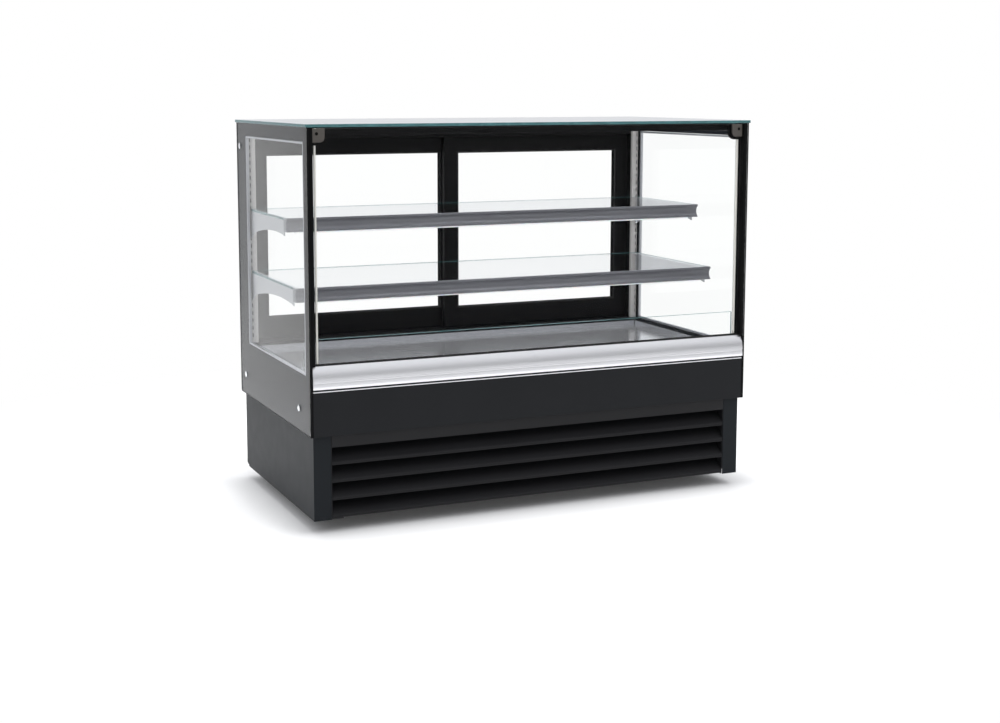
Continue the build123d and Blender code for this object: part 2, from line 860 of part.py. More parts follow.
# Two glass shelves on cantilever brackets, each with a bright front profile
slot_middle = (sill_top + upright_top) / 2
slot_lowest = slot_middle - slot_pitch * (slot_count - 1) / 2
for level, shelf_z, setback in SHELVES:
    shelf_front = front + setback
    glass_z = shelf_z - shelf_glass_thick
    glass_front = shelf_front + profile_lip
    profile_back = shelf_front + profile_depth
    profile_half = shelf_half - end_cap_thick
    bracket_z = glass_z - bracket_pad
    hollow_z = shelf_z - (shelf_glass_thick + profile_height) / 2

    with BuildPart() as shelf_profile:
        with BuildSketch(Plane.YZ):
            with BuildLine():
                Polyline(
                    (shelf_front, shelf_z - profile_top_band),
                    (shelf_front, shelf_z - frame_edge),
                    (shelf_front + frame_edge, shelf_z),
                    (glass_front, shelf_z),
                    (glass_front, glass_z),
                    (profile_back, glass_z),
                    (profile_back, shelf_z - profile_height),
                    (shelf_front, shelf_z - profile_height),
                    (shelf_front, shelf_z - profile_height + profile_low_band),
                )
                ThreePointArc(
                    (shelf_front, shelf_z - profile_height + profile_low_band),
                    (shelf_front + profile_hollow, shelf_z - profile_height / 2),
                    (shelf_front, shelf_z - profile_top_band),
                )
            make_face()
            with Locations(((shelf_front + profile_hollow + profile_back) / 2, hollow_z)):
                Rectangle(
                    profile_depth - profile_hollow - 2 * profile_wall,
                    profile_height - shelf_glass_thick - 2 * profile_wall,
                    mode=Mode.SUBTRACT,
                )
        extrude(amount=profile_half, both=True)
    shelf_profile.part.label = f"shelf_profile_{level}"
    export_step(shelf_profile.part, f"parts/shelf_profile_{level}.step")

    with BuildPart() as shelf_glass:
        block(
            (-profile_half, profile_half),
            (glass_front, upright_front - shelf_back_gap),
            (glass_z, shelf_z),
        )
        chamfer(shelf_glass.edges().filter_by(Axis.X).group_by(Axis.Y)[-1], glass_edge)
    shelf_glass.part.label = f"shelf_glass_{level}"
    export_step(shelf_glass.part, f"parts/shelf_glass_{level}.step")

    arm_front = profile_back
    arm_back = upright_front
    arch_z = bracket_z - bracket_arch
    root_knee = (arm_back - bracket_root * bracket_knee_share, bracket_z - bracket_root * bracket_knee_drop)
    lug_top = slot_lowest + slot_pitch * int((bracket_z - slot_lowest) / slot_pitch) + lug_height / 2
    with BuildPart() as shelf_brackets:
        for tag, side in SIDES:
            with BuildSketch(Plane.YZ.offset(side * slot_line)):
                with BuildLine():
                    Polyline(
                        (arm_front + bracket_hook_width, arch_z),
                        (arm_front + bracket_hook_nose, bracket_z - bracket_hook),
                        (arm_front, bracket_z - bracket_hook),
                        (arm_front, bracket_z),
                        (arm_back, bracket_z),
                        (arm_back, bracket_z - bracket_root),
                        root_knee,
                    )
                    ThreePointArc(
                        root_knee,
                        (arm_back - bracket_root * bracket_arch_share, arch_z),
                        (arm_front + bracket_hook_width, arch_z),
                    )
                make_face()
            extrude(amount=bracket_thick / 2, both=True)
            block(
                (side * (slot_line + bracket_thick / 2), side * (slot_line - bracket_top_flange)),
                (arm_front, arm_back),
                (bracket_z, glass_z),
            )
            for step in range(lug_count):
                block(
                    (side * slot_line - bracket_thick / 2, side * slot_line + bracket_thick / 2),
                    (arm_back, arm_back + upright_wall + lug_reach),
                    (lug_top - step * slot_pitch, lug_top - step * slot_pitch - lug_height),
                )
    shelf_brackets.part.label = f"shelf_brackets_{level}"
    export_step(shelf_brackets.part, f"parts/shelf_brackets_{level}.step")

with BuildPart() as shelf_end_caps:
    for level, shelf_z, setback in SHELVES:
        cap_front = front + setback
        with BuildSketch(Plane.YZ.offset(shelf_half - end_cap_thick)):
            with BuildLine():
                Polyline(
                    (cap_front, shelf_z - profile_top_band),
                    (cap_front, shelf_z),
                    (cap_front + profile_depth, shelf_z),
                    (cap_front + profile_depth, shelf_z - profile_height),
                    (cap_front, shelf_z - profile_height),
                    (cap_front, shelf_z - profile_height + profile_low_band),
                )
                ThreePointArc(
                    (cap_front, shelf_z - profile_height + profile_low_band),
                    (cap_front + profile_hollow, shelf_z - profile_height / 2),
                    (cap_front, shelf_z - profile_top_band),
                )
            make_face()
        extrude(amount=end_cap_thick)
    mirror(about=Plane.YZ)
shelf_end_caps.part.label = "shelf_end_caps"
export_step(shelf_end_caps.part, "parts/shelf_end_caps.step")

# Light strips: one in the front head rail and one under each shelf profile
with BuildPart() as light_strips:
    block(
        (-wall_in + light_end_gap, wall_in - light_end_gap),
        (header_middle - light_width / 2, header_middle + light_width / 2),
        (top_z - header_height, top_z - header_height + light_thick),
    )
    for level, shelf_z, setback in SHELVES:
        strip_middle = front + setback + profile_depth / 2 + shelf_light_shift
        strip_top = shelf_z - profile_height
        block(
            (-shelf_half + light_end_gap, shelf_half - light_end_gap),
            (strip_middle - shelf_light_width / 2, strip_middle + shelf_light_width / 2),
            (strip_top - shelf_light_thick, strip_top),
        )
light_strips.part.label = "light_strips"
export_step(light_strips.part, "parts/light_strips.step")


def fan_wheel(centre, diameter, shaft_length):
    """Axial fan on a Y axis whose shaft points to the back."""
    x, y, z = centre
    hub = diameter * fan_hub_ratio
    blade_length = (diameter - hub) / 2 + fan_root_lap
    with BuildPart() as wheel:
        rod((x, y - fan_hub_depth / 2, z), (x, y + fan_hub_depth / 2, z), hub)
        chamfer(wheel.faces().sort_by(Axis.Y)[0].edges(), fan_hub_edge)
        rod(centre, (x, y + shaft_length, z), fan_shaft_diameter)
        for turn in range(fan_blades):
            arm = Location(centre) * Location((0, 0, 0), (0, turn * 360 / fan_blades, 0))
            blade = Location((0, 0, diameter / 2 - blade_length / 2), (0, 0, fan_blade_pitch))
            with Locations(arm * blade):
                Box(diameter * fan_chord_ratio, fan_blade_thick, blade_length)
    return wheel


def coil(length, depth, height, fins, corner):
    """Finned coil block with round tubes along X, its low front left corner at the given point."""
    x, y, z = corner
    rows = int(height // coil_row_pitch)
    columns = int(depth // coil_column_pitch)
    fin_pitch = (length - fin_thick) / (fins - 1)
    with BuildPart() as coil_block:
        for number in range(fins):
            fin_x = x + number * fin_pitch
            block((fin_x, fin_x + fin_thick), (y, y + depth), (z, z + height))
        for row in range(rows):
            for column in range(columns):
                tube_y = y + depth * (column + 0.5) / columns
                tube_z = z + height * (row + 0.5) / rows
                rod(
                    (x - coil_tube_reach, tube_y, tube_z),
                    (x + length + coil_tube_reach, tube_y, tube_z),
                    coil_tube_diameter,
                )
    return coil_block


# Evaporator, its fan and the fan panel in the well
liner_floor = cavity_floor + sheet
panel_y = front + fan_panel_setback
evaporator_coil = coil(
    evaporator_length,
    evaporator_depth,
    evaporator_height,
    evaporator_fins,
    (-evaporator_length / 2, panel_y + evaporator_gap, liner_floor),
)
evaporator_coil.part.label = "evaporator_coil"
export_step(evaporator_coil.part, "parts/evaporator_coil.step")

evaporator_fan_z = (liner_floor + liner_top) / 2
evaporator_fan_y = panel_y - sheet
evaporator_fan_at = (0, evaporator_fan_y, evaporator_fan_z)
evaporator_fan = fan_wheel(evaporator_fan_at, evaporator_fan_diameter, fan_shaft_length)
evaporator_fan.part.label = "evaporator_fan"
export_step(evaporator_fan.part, "parts/evaporator_fan.step")


def motor_on_arms(x, y, z, diameter, opening, arm_reach):
    """Adds a motor with its shaft bore, held on three arms that reach past a round opening."""
    for turn in (0, 120, 240):
        arm = Location((x, y + motor_arm / 2, z)) * Location((0, 0, 0), (0, turn, 0))
        with Locations(arm * Location((0, 0, (opening / 2 + arm_reach) / 2))):
            Box(motor_arm, sheet, opening / 2 + arm_reach)
    rod((x, y, z), (x, y + motor_length, z), diameter)
    shaft_bore = fan_shaft_diameter + 2 * fan_shaft_clearance
    rod((x, y, z), (x, y + motor_length - motor_cap, z), shaft_bore, mode=Mode.SUBTRACT)


fan_opening = evaporator_fan_diameter + 2 * fan_clearance
with BuildPart() as fan_panel:
    block((-cavity_half + sheet, cavity_half - sheet), (panel_y, panel_y + sheet), (liner_floor, liner_top))
    rod(
        (0, panel_y, evaporator_fan_z),
        (0, panel_y + fan_ring_depth, evaporator_fan_z),
        fan_opening + 2 * sheet,
    )
    rod(
        (0, panel_y, evaporator_fan_z),
        (0, panel_y + fan_ring_depth, evaporator_fan_z),
        fan_opening,
        mode=Mode.SUBTRACT,
    )
    motor_on_arms(
        0,
        evaporator_fan_y + fan_hub_depth / 2 + motor_gap,
        evaporator_fan_z,
        small_motor_diameter,
        fan_opening,
        sheet / 2,
    )
fan_panel.part.label = "fan_panel"
export_step(fan_panel.part, "parts/fan_panel.step")

# Base frame of steel angle, with foot bosses and a floor for the cooling unit
foot_x = plinth_half - foot_side_inset
foot_front = front + foot_front_setback
foot_back = back - foot_back_setback
foot_places = ((-foot_x, foot_front), (foot_x, foot_front), (-foot_x, foot_back), (foot_x, foot_back))
frame_width = 2 * frame_half
frame_length = frame_back - frame_front
frame_middle = (frame_front + frame_back) / 2
unit_floor = frame_bottom + angle_thick
with BuildPart() as base_frame:
    for low, high in ((frame_bottom, frame_bottom + angle_leg), (body_z - angle_leg, body_z)):
        with BuildSketch(Plane.XY.offset(low)):
            with Locations((0, frame_middle)):
                Rectangle(frame_width, frame_length)
                Rectangle(frame_width - 2 * angle_thick, frame_length - 2 * angle_thick, mode=Mode.SUBTRACT)
        extrude(amount=high - low)
    for low in (frame_bottom, body_z - angle_thick):
        with BuildSketch(Plane.XY.offset(low)):
            with Locations((0, frame_middle)):
                Rectangle(frame_width, frame_length)
                Rectangle(frame_width - 2 * angle_leg, frame_length - 2 * angle_leg, mode=Mode.SUBTRACT)
        extrude(amount=angle_thick)
    for side_x in (-1, 1):
        for corner_y, inward in ((frame_front, 1), (frame_back, -1)):
            block(
                (side_x * frame_half, side_x * (frame_half - angle_thick)),
                (corner_y, corner_y + inward * angle_leg),
                (frame_bottom, body_z),
            )
            block(
                (side_x * frame_half, side_x * (frame_half - angle_leg)),
                (corner_y, corner_y + inward * angle_thick),
                (frame_bottom, body_z),
            )
    block(
        (condenser_x - condenser_width / 2 - unit_floor_margin, compressor_x + compressor_diameter),
        (frame_front + angle_thick, frame_back - angle_thick),
        (frame_bottom, unit_floor),
    )
    for bar_y in (foot_front, foot_back):
        block(
            (-frame_half + angle_thick, frame_half - angle_thick),
            (bar_y - cross_bar_width / 2, bar_y + cross_bar_width / 2),
            (frame_bottom, unit_floor),
        )
    for foot_at in foot_places:
        rod((*foot_at, frame_bottom), (*foot_at, frame_bottom + foot_boss_height), foot_boss_diameter)
        rod(
            (*foot_at, frame_bottom),
            (*foot_at, frame_bottom + foot_boss_height),
            foot_stem_diameter + 2 * foot_stem_clearance,
            mode=Mode.SUBTRACT,
        )
base_frame.part.label = "base_frame"
export_step(base_frame.part, "parts/base_frame.step")

for number, foot_at in enumerate(foot_places, start=1):
    with BuildPart() as foot:
        rod((*foot_at, 0), (*foot_at, foot_disc_height), foot_disc_diameter)
        chamfer(foot.faces().sort_by(Axis.Z)[-1].edges(), foot_disc_height / 3)
        rod((*foot_at, foot_disc_height), (*foot_at, frame_bottom + foot_boss_height), foot_stem_diameter)
        with BuildSketch(Plane(origin=(*foot_at, frame_bottom - foot_nut_drop))):
            RegularPolygon(foot_nut_radius, 6)
        extrude(amount=foot_nut_height)
    foot.part.label = f"foot_{number}"
    export_step(foot.part, f"parts/foot_{number}.step")

# Plinth: side sheets folded round into the front stiles, rear sheet with vents, louvred grille
for tag, side in SIDES:
    with BuildPart() as plinth_side:
        with BuildSketch(Plane.XY.offset(foot_height)):
            with BuildLine():
                Polyline(
                    (side * (plinth_half - stile_width), plinth_front),
                    (side * plinth_half, plinth_front),
                    (side * plinth_half, plinth_back),
                    (side * (plinth_half - rear_return), plinth_back),
                    (side * (plinth_half - rear_return), plinth_back - plinth_sheet),
                    (side * (plinth_half - plinth_sheet), plinth_back - plinth_sheet),
                    (side * (plinth_half - plinth_sheet), plinth_front + plinth_sheet),
                    (side * (plinth_half - stile_width), plinth_front + plinth_sheet),
                    close=True,
                )
            make_face()
        extrude(amount=base_height)
        front_edges = plinth_side.edges().filter_by(Axis.Z).group_by(Axis.Y)[0]
        fillet(front_edges.sort_by(Axis.X)[-1 if side > 0 else 0], plinth_fold)
        block(
            (side * (plinth_half - rear_return), side * plinth_half),
            (plinth_back - plinth_step_length, plinth_back),
            (foot_height, foot_height + plinth_step_height),
            mode=Mode.SUBTRACT,
        )
    plinth_side.part.label = f"plinth_{tag}"
    export_step(plinth_side.part, f"parts/plinth_{tag}.step")

rear_sheet_half = plinth_half - rear_return - grille_gap
with BuildPart() as plinth_rear:
    block(
        (-rear_sheet_half, rear_sheet_half),
        (frame_back, plinth_back),
        (foot_height + plinth_step_height, body_z),
    )
    with BuildSketch(Plane.XZ.offset(-plinth_back)):
        with Locations((0, (foot_height + body_z) / 2)):
            with GridLocations(vent_pitch_x, vent_pitch_z, vent_columns, vent_rows):
                SlotOverall(vent_length, vent_width)
    extrude(amount=plinth_sheet, mode=Mode.SUBTRACT)
plinth_rear.part.label = "plinth_rear"
export_step(plinth_rear.part, "parts/plinth_rear.step")

grille_half = plinth_half - stile_width - grille_gap
grille_bottom = foot_height + grille_foot
blade_zone = body_z - grille_rail - grille_bottom
blade_pitch = blade_zone / blade_count
blade_angle_drop = blade_sheet * hypot(blade_reach, blade_rise) / blade_reach
with BuildPart() as grille:
    block(
        (-grille_half, grille_half),
        (plinth_front, plinth_front + plinth_sheet),
        (body_z - grille_rail, body_z),
    )
    for side in (-1, 1):
        block(
            (side * grille_half, side * (grille_half - blade_sheet)),
            (plinth_front + blade_sheet, frame_front),
            (grille_bottom, body_z),
        )
    blade_front = plinth_front + blade_inset
    blade_back = blade_front + blade_sheet + blade_reach
    for number in range(blade_count):
        low = grille_bottom + number * blade_pitch
        with BuildSketch(Plane.YZ):
            with BuildLine():
                Polyline(
                    (blade_front, low),
                    (blade_front, low + blade_lip),
                    (blade_back, low + blade_lip + blade_rise),
                    (blade_back, low + blade_lip + blade_rise - blade_angle_drop),
                    (blade_front + blade_sheet, low + blade_lip - blade_angle_drop / 2),
                    (blade_front + blade_sheet, low),
                    close=True,
                )
            make_face()
        extrude(amount=grille_half - blade_sheet, both=True)
    block(
        (-grille_half, -grille_half + grille_tab_length),
        (blade_front, blade_front + blade_sheet),
        (grille_bottom - grille_tab_height, grille_bottom),
    )
grille.part.label = "grille"
export_step(grille.part, "parts/grille.step")

# Cooling unit in the base: condenser with its shroud and fan, and the compressor
condenser_y = front + condenser_setback
condenser = coil(
    condenser_width,
    condenser_depth,
    condenser_height,
    condenser_fins,
    (condenser_x - condenser_width / 2, condenser_y, unit_floor),
)
condenser.part.label = "condenser"
export_step(condenser.part, "parts/condenser.step")

shroud_y = condenser_y + condenser_depth
shroud_back = shroud_y + shroud_depth
shroud_half = condenser_width / 2
shroud_top = unit_floor + condenser_height
shroud_opening = condenser_fan_diameter + 2 * fan_clearance
fan_z = unit_floor + condenser_height / 2
motor_y = shroud_back + fan_hub_depth / 2 + motor_gap
post_length = motor_y + motor_arm / 2 - shroud_back
post_reach = shroud_post_inset + shroud_post
with BuildPart() as condenser_shroud:
    block(
        (condenser_x - shroud_half, condenser_x + shroud_half),
        (shroud_y, shroud_back),
        (unit_floor, shroud_top),
    )
    block(
        (condenser_x - shroud_half + sheet, condenser_x + shroud_half - sheet),
        (shroud_y, shroud_back - sheet),
        (unit_floor + sheet, shroud_top - sheet),
        mode=Mode.SUBTRACT,
    )
    rod(
        (condenser_x, shroud_back - sheet, fan_z),
        (condenser_x, shroud_back, fan_z),
        shroud_opening,
        mode=Mode.SUBTRACT,
    )
    motor_on_arms(condenser_x, motor_y, fan_z, motor_diameter, shroud_opening, post_reach)
    for turn in (0, 120, 240):
        arm = Location((condenser_x, shroud_back, fan_z)) * Location((0, 0, 0), (0, turn, 0))
        post_at = (0, post_length / 2, shroud_opening / 2 + post_reach - shroud_post / 2)
        with Locations(arm * Location(post_at)):
            Box(motor_arm, post_length, shroud_post)
condenser_shroud.part.label = "condenser_shroud"
export_step(condenser_shroud.part, "parts/condenser_shroud.step")

condenser_fan = fan_wheel((condenser_x, shroud_back, fan_z), condenser_fan_diameter, fan_shaft_length)
condenser_fan.part.label = "condenser_fan"
export_step(condenser_fan.part, "parts/condenser_fan.step")

compressor_y = front + compressor_setback
compressor_base = unit_floor + grommet_height
terminal_x = compressor_x + compressor_diameter / 2
with BuildPart() as compressor:
    with BuildSketch(Plane.XY.offset(compressor_base)):
        with Locations((compressor_x, compressor_y)):
            RectangleRounded(compressor_foot_width, compressor_foot_depth, compressor_foot_corner)
    extrude(amount=compressor_foot)
    with BuildSketch(Plane.XY.offset(compressor_base + compressor_foot)):
        with Locations((compressor_x, compressor_y)):
            Ellipse(compressor_diameter / 2, compressor_short_diameter / 2)
    extrude(amount=compressor_height - compressor_foot)
    fillet(compressor.faces().sort_by(Axis.Z)[-1].edges(), compressor_dome)
    for side_x in (-1, 1):
        for side_y in (-1, 1):
            leg_at = (
                compressor_x + side_x * (compressor_foot_width / 2 - compressor_foot_corner),
                compressor_y + side_y * (compressor_foot_depth / 2 - compressor_foot_corner),
            )
            rod((*leg_at, unit_floor), (*leg_at, compressor_base), grommet_diameter)
    block(
        (terminal_x - terminal_lap, terminal_x + terminal_proud),
        (compressor_y - terminal_width / 2, compressor_y + terminal_width / 2),
        (compressor_base + terminal_lift, compressor_base + terminal_lift + terminal_height),
    )
compressor.part.label = "compressor"
export_step(compressor.part, "parts/compressor.step")

# Copper pipes: hot line to the condenser, liquid line and return line to the well
pipe_top = compressor_base + compressor_height
hot_x = compressor_x - pipe_spread
hot_drop_x = condenser_x + condenser_width / 2 + coil_tube_reach + pipe_diameter / 2
hot_y = condenser_y + condenser_depth / 2
liquid_y = hot_y - pipe_spread / 2
return_x = compressor_x + pipe_spread
with BuildPart() as refrigerant_pipes:
    with BuildLine() as hot_line:
        FilletPolyline(
            (hot_x, compressor_y, pipe_top),
            (hot_x, compressor_y, pipe_top + pipe_rise),
            (hot_drop_x, compressor_y, pipe_top + pipe_rise),
            (hot_drop_x, hot_y, pipe_top + pipe_rise),
            (hot_drop_x, hot_y, fan_z),
            radius=pipe_bend,
        )
    with BuildSketch(Plane(origin=hot_line.line @ 0, z_dir=hot_line.line % 0)):
        Circle(pipe_diameter / 2)
    sweep(path=hot_line.line)
    rod((return_x, compressor_y, pipe_top), (return_x, compressor_y, body_z), pipe_diameter)
    rod((hot_drop_x, liquid_y, unit_floor), (hot_drop_x, liquid_y, body_z), pipe_diameter)
refrigerant_pipes.part.label = "refrigerant_pipes"
export_step(refrigerant_pipes.part, "parts/refrigerant_pipes.step")

# Control box in the rear panel, with a rocker switch and the power inlet
rocker_x = control_x - control_width / 2 + control_inset
inlet_x = control_x + control_width / 2 - control_inset
control_middle = control_bottom + control_height / 2
rocker_pivot_y = back - rocker_drop
pocket_half_width = rocker_width / 2 + rocker_clearance
pocket_half_height = rocker_height / 2 + rocker_clearance
rocker_pin_half = pocket_half_width + rocker_pin_reach
with BuildPart() as control_box:
    block(
        (control_x - control_width / 2, control_x + control_width / 2),
        (well_back, back),
        (control_bottom, control_bottom + control_height),
    )
    fillet(control_box.edges().filter_by(Axis.Y), control_corner)
    block(
        (rocker_x - pocket_half_width, rocker_x + pocket_half_width),
        (back - rocker_pocket, back),
        (control_middle - pocket_half_height, control_middle + pocket_half_height),
        mode=Mode.SUBTRACT,
    )
    block(
        (inlet_x - inlet_width / 2, inlet_x + inlet_width / 2),
        (back - inlet_depth, back),
        (control_middle - inlet_height / 2, control_middle + inlet_height / 2),
        mode=Mode.SUBTRACT,
    )
    for step in (-1, 0, 1):
        blade_x = inlet_x + step * inlet_blade_pitch
        block(
            (blade_x - inlet_blade_width / 2, blade_x + inlet_blade_width / 2),
            (back - inlet_depth, back - inlet_blade_drop),
            (control_middle - inlet_blade_width, control_middle + inlet_blade_width),
        )
    rod(
        (rocker_x - rocker_pin_half - rocker_pin_clearance, rocker_pivot_y, control_middle),
        (rocker_x + rocker_pin_half + rocker_pin_clearance, rocker_pivot_y, control_middle),
        rocker_pin_diameter + 2 * rocker_pin_clearance,
        mode=Mode.SUBTRACT,
    )
control_box.part.label = "control_box"
export_step(control_box.part, "parts/control_box.step")

rocker_radius = rocker_height / 2
top_reach = rocker_face + rocker_height * tan(radians(rocker_dish + rocker_swing / 2))
low_reach = rocker_face + rocker_height * tan(radians(rocker_dish - rocker_swing / 2))
with BuildPart() as main_switch:
    with BuildSketch(Plane.YZ.offset(rocker_x)):
        with Locations((rocker_pivot_y, control_middle)):
            Circle(rocker_radius)
        with BuildLine():
            Polyline(
                (rocker_pivot_y + rocker_face, control_middle),
                (rocker_pivot_y + top_reach, control_middle + rocker_height),
                (rocker_pivot_y - rocker_face, control_middle + rocker_height),
                (rocker_pivot_y - rocker_face, control_middle - rocker_height),
                (rocker_pivot_y + low_reach, control_middle - rocker_height),
                close=True,
            )
        make_face(mode=Mode.INTERSECT)
    extrude(amount=rocker_width / 2, both=True)
    rod(
        (rocker_x - rocker_pin_half, rocker_pivot_y, control_middle),
        (rocker_x + rocker_pin_half, rocker_pivot_y, control_middle),
        rocker_pin_diameter,
    )
main_switch.part.label = "main_switch"
export_step(main_switch.part, "parts/main_switch.step")
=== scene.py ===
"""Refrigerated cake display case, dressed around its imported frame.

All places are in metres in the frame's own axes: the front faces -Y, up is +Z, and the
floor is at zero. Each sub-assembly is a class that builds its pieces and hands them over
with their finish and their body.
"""

import json
import logging
from dataclasses import dataclass
from enum import Enum, IntEnum
from math import cos, pi, radians, sin
from typing import Iterable, Sequence

import bmesh
import bpy
from bpy.types import Material, Node, NodeSocket, Object, World
from mathutils import Matrix, Vector


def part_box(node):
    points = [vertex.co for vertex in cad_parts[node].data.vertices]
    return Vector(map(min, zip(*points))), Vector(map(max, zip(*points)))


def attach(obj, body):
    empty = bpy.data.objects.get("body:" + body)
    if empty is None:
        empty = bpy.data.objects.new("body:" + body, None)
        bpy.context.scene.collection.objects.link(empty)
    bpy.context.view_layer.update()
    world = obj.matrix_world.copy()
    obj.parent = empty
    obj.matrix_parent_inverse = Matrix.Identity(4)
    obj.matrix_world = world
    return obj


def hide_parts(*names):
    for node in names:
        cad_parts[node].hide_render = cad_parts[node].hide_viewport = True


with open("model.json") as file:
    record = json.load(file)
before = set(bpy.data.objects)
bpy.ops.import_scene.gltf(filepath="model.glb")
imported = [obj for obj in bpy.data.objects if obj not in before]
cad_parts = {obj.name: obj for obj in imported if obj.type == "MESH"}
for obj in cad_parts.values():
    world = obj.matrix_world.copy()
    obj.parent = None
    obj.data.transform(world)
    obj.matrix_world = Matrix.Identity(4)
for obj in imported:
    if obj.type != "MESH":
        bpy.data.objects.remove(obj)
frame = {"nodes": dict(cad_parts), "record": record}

logging.basicConfig(level=logging.INFO, format="%(message)s")
log = logging.getLogger("display_case")

Point = Sequence[float]
Span = tuple[float, float]
Place = tuple[float, float, float]
Tone = tuple[float, float, float]

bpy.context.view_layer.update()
SIDES = {"left": -1, "right": 1}
SOFT = "SMOOTHSTEP"
# Edges that turn by more than these angles stay sharp: on most pieces, and on panes.
SMOOTH_ANGLE = radians(50)
PANE_ANGLE = radians(12)
# Edges that turn by more than the first are eased, and by less than the second dissolved.
CORNER_ANGLE = radians(52)
FLAT_ANGLE = radians(0.4)
WELD = 2e-6
FACE_WEIGHT = 100
# The share of a normal along an axis above which a face looks along it.
FACING = 0.9
# The ground edge of a pane, and the hair by which it clears what it touches.
ARRIS = 0.0007
HAIR = 0.0001


class Body(str, Enum):
    """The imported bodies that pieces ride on."""

    CASE = "case"
    LIFT_GLASS = "lift_glass"
    LEFT_DOOR = "rear_door_left"
    RIGHT_DOOR = "rear_door_right"
    SWITCH = "power_switch"
    FOOT_FRONT_LEFT = "foot_front_left"
    FOOT_FRONT_RIGHT = "foot_front_right"
    FOOT_BACK_LEFT = "foot_back_left"
    FOOT_BACK_RIGHT = "foot_back_right"


class Axis(IntEnum):
    """The frame's axes: along the case, from front to back, and up."""

    X = 0
    Y = 1
    Z = 2


def tone(red: float, green: float, blue: float) -> Tone:
    """Turns a colour as a screen shows it, in parts of 0 to 255, into a shader's linear one."""
    shown = [part / 255 for part in (red, green, blue)]
    return tuple(s / 12.92 if s <= 0.04045 else ((s + 0.055) / 1.055) ** 2.4 for s in shown)


class Graph:
    """A tree of shader nodes, laid out by code."""

    def __init__(self, owner: Material | World) -> None:
        """Takes over the tree of a material or a world, and clears it."""
        owner.use_nodes = True
        self.tree = owner.node_tree
        self.tree.nodes.clear()

    def node(self, kind: str, operation: str = "", **values: float | Sequence[float]) -> Node:
        """Adds a node.

        Args:
            kind: The node's type.
            operation: What a node of arithmetic does.
            **values: Inputs by name, with spaces written as underscores.

        Returns:
            The node.
        """
        made = self.tree.nodes.new(kind)
        if operation:
            made.operation = operation
        for name, value in values.items():
            made.inputs[name.replace("_", " ")].default_value = value
        return made

    def link(self, source: NodeSocket, target: NodeSocket) -> None:
        """Joins an output to an input."""
        self.tree.links.new(source, target)

    def math(self, operation: str, *terms: NodeSocket | float) -> NodeSocket:
        """Works one step of arithmetic.

        Args:
            operation: The step's name.
            *terms: Outputs and plain numbers.

        Returns:
            The result.
        """
        made = self.node("ShaderNodeMath", operation)
        for term, target in zip(terms, made.inputs):
            if isinstance(term, NodeSocket):
                self.link(term, target)
            else:
                target.default_value = term
        return made.outputs[0]

    def ranged(self, value: NodeSocket, reach: Span, levels: Span, run: str = "LINEAR") -> NodeSocket:
        """Goes from one level to another while a value crosses its reach.

        Args:
            value: The value.
            reach: Where its reach starts and ends.
            levels: The level before and the level behind it.
            run: How it goes between them.

        Returns:
            The level.
        """
        (start, end), (low, high) = reach, levels
        made = self.node("ShaderNodeMapRange", From_Min=start, From_Max=end, To_Min=low, To_Max=high)
        made.interpolation_type = run
        self.link(value, made.inputs["Value"])
        return made.outputs["Result"]


class Mixer(Graph):
    """The graph of one material, around its shader."""

    MIDDLE: Span = (0.3, 0.7)

    def __init__(self, name: str) -> None:
        """Starts a material with a shader, its output and object coordinates."""
        self.material = bpy.data.materials.new(name)
        super().__init__(self.material)
        self.out = self.node("ShaderNodeOutputMaterial")
        self.skin = self.node("ShaderNodeBsdfPrincipled")
        self.link(self.skin.outputs["BSDF"], self.out.inputs["Surface"])
        self.places = self.node("ShaderNodeTexCoord").outputs["Object"]

    def set(self, **values: float | Tone) -> None:
        """Sets even values on the shader's own sockets."""
        for name, value in values.items():
            socket = self.skin.inputs[name.replace("_", " ")]
            socket.default_value = (*value, 1.0) if isinstance(value, tuple) else value

    def noise(self, scale: float, detail: float = 3.0, stretch: Point = (1, 1, 1)) -> NodeSocket:
        """Adds a cloudy pattern.

        Args:
            scale: Features for each metre.
            detail: How many finer layers it has.
            stretch: How much finer it is along each axis.

        Returns:
            The pattern, around one half.
        """
        mapping = self.node("ShaderNodeMapping", Scale=tuple(stretch))
        self.link(self.places, mapping.inputs["Vector"])
        cloud = self.node("ShaderNodeTexNoise", Scale=scale, Detail=detail)
        self.link(mapping.outputs["Vector"], cloud.inputs["Vector"])
        return cloud.outputs["Fac"]

    def shades(self, value: NodeSocket, low: Tone, high: Tone) -> NodeSocket:
        """Turns the middle of a pattern into a run between two colours.

        Args:
            value: The pattern.
            low: The colour below the middle.
            high: The colour above it.

        Returns:
            The colours.
        """
        ramp = self.node("ShaderNodeValToRGB")
        for stop, place, shade in zip(ramp.color_ramp.elements, self.MIDDLE, (low, high)):
            stop.position = place
            stop.color = (*shade, 1.0)
        self.link(value, ramp.inputs["Fac"])
        return ramp.outputs["Color"]

    def colour(self, value: NodeSocket, base: Tone, swing: float) -> None:
        """Lets the colour swing around its base by a share of it."""
        low, high = (tuple(part * (1 + way * swing) for part in base) for way in (-1, 1))
        self.link(self.shades(value, low, high), self.skin.inputs["Base Color"])

    def rough(self, value: NodeSocket, base: float, swing: Span) -> None:
        """Lets the roughness follow the middle of a pattern, from below its base to above it."""
        levels = (base + swing[0], base + swing[1])
        self.link(self.ranged(value, self.MIDDLE, levels), self.skin.inputs["Roughness"])

    def bump(self, height: NodeSocket, depth: float) -> None:
        """Raises the surface by a pattern.

        Args:
            height: The pattern.
            depth: How far it raises the surface, in metres.
        """
        relief = self.node("ShaderNodeBump", Strength=1.0, Distance=depth)
        self.link(height, relief.inputs["Height"])
        self.link(relief.outputs["Normal"], self.skin.inputs["Normal"])


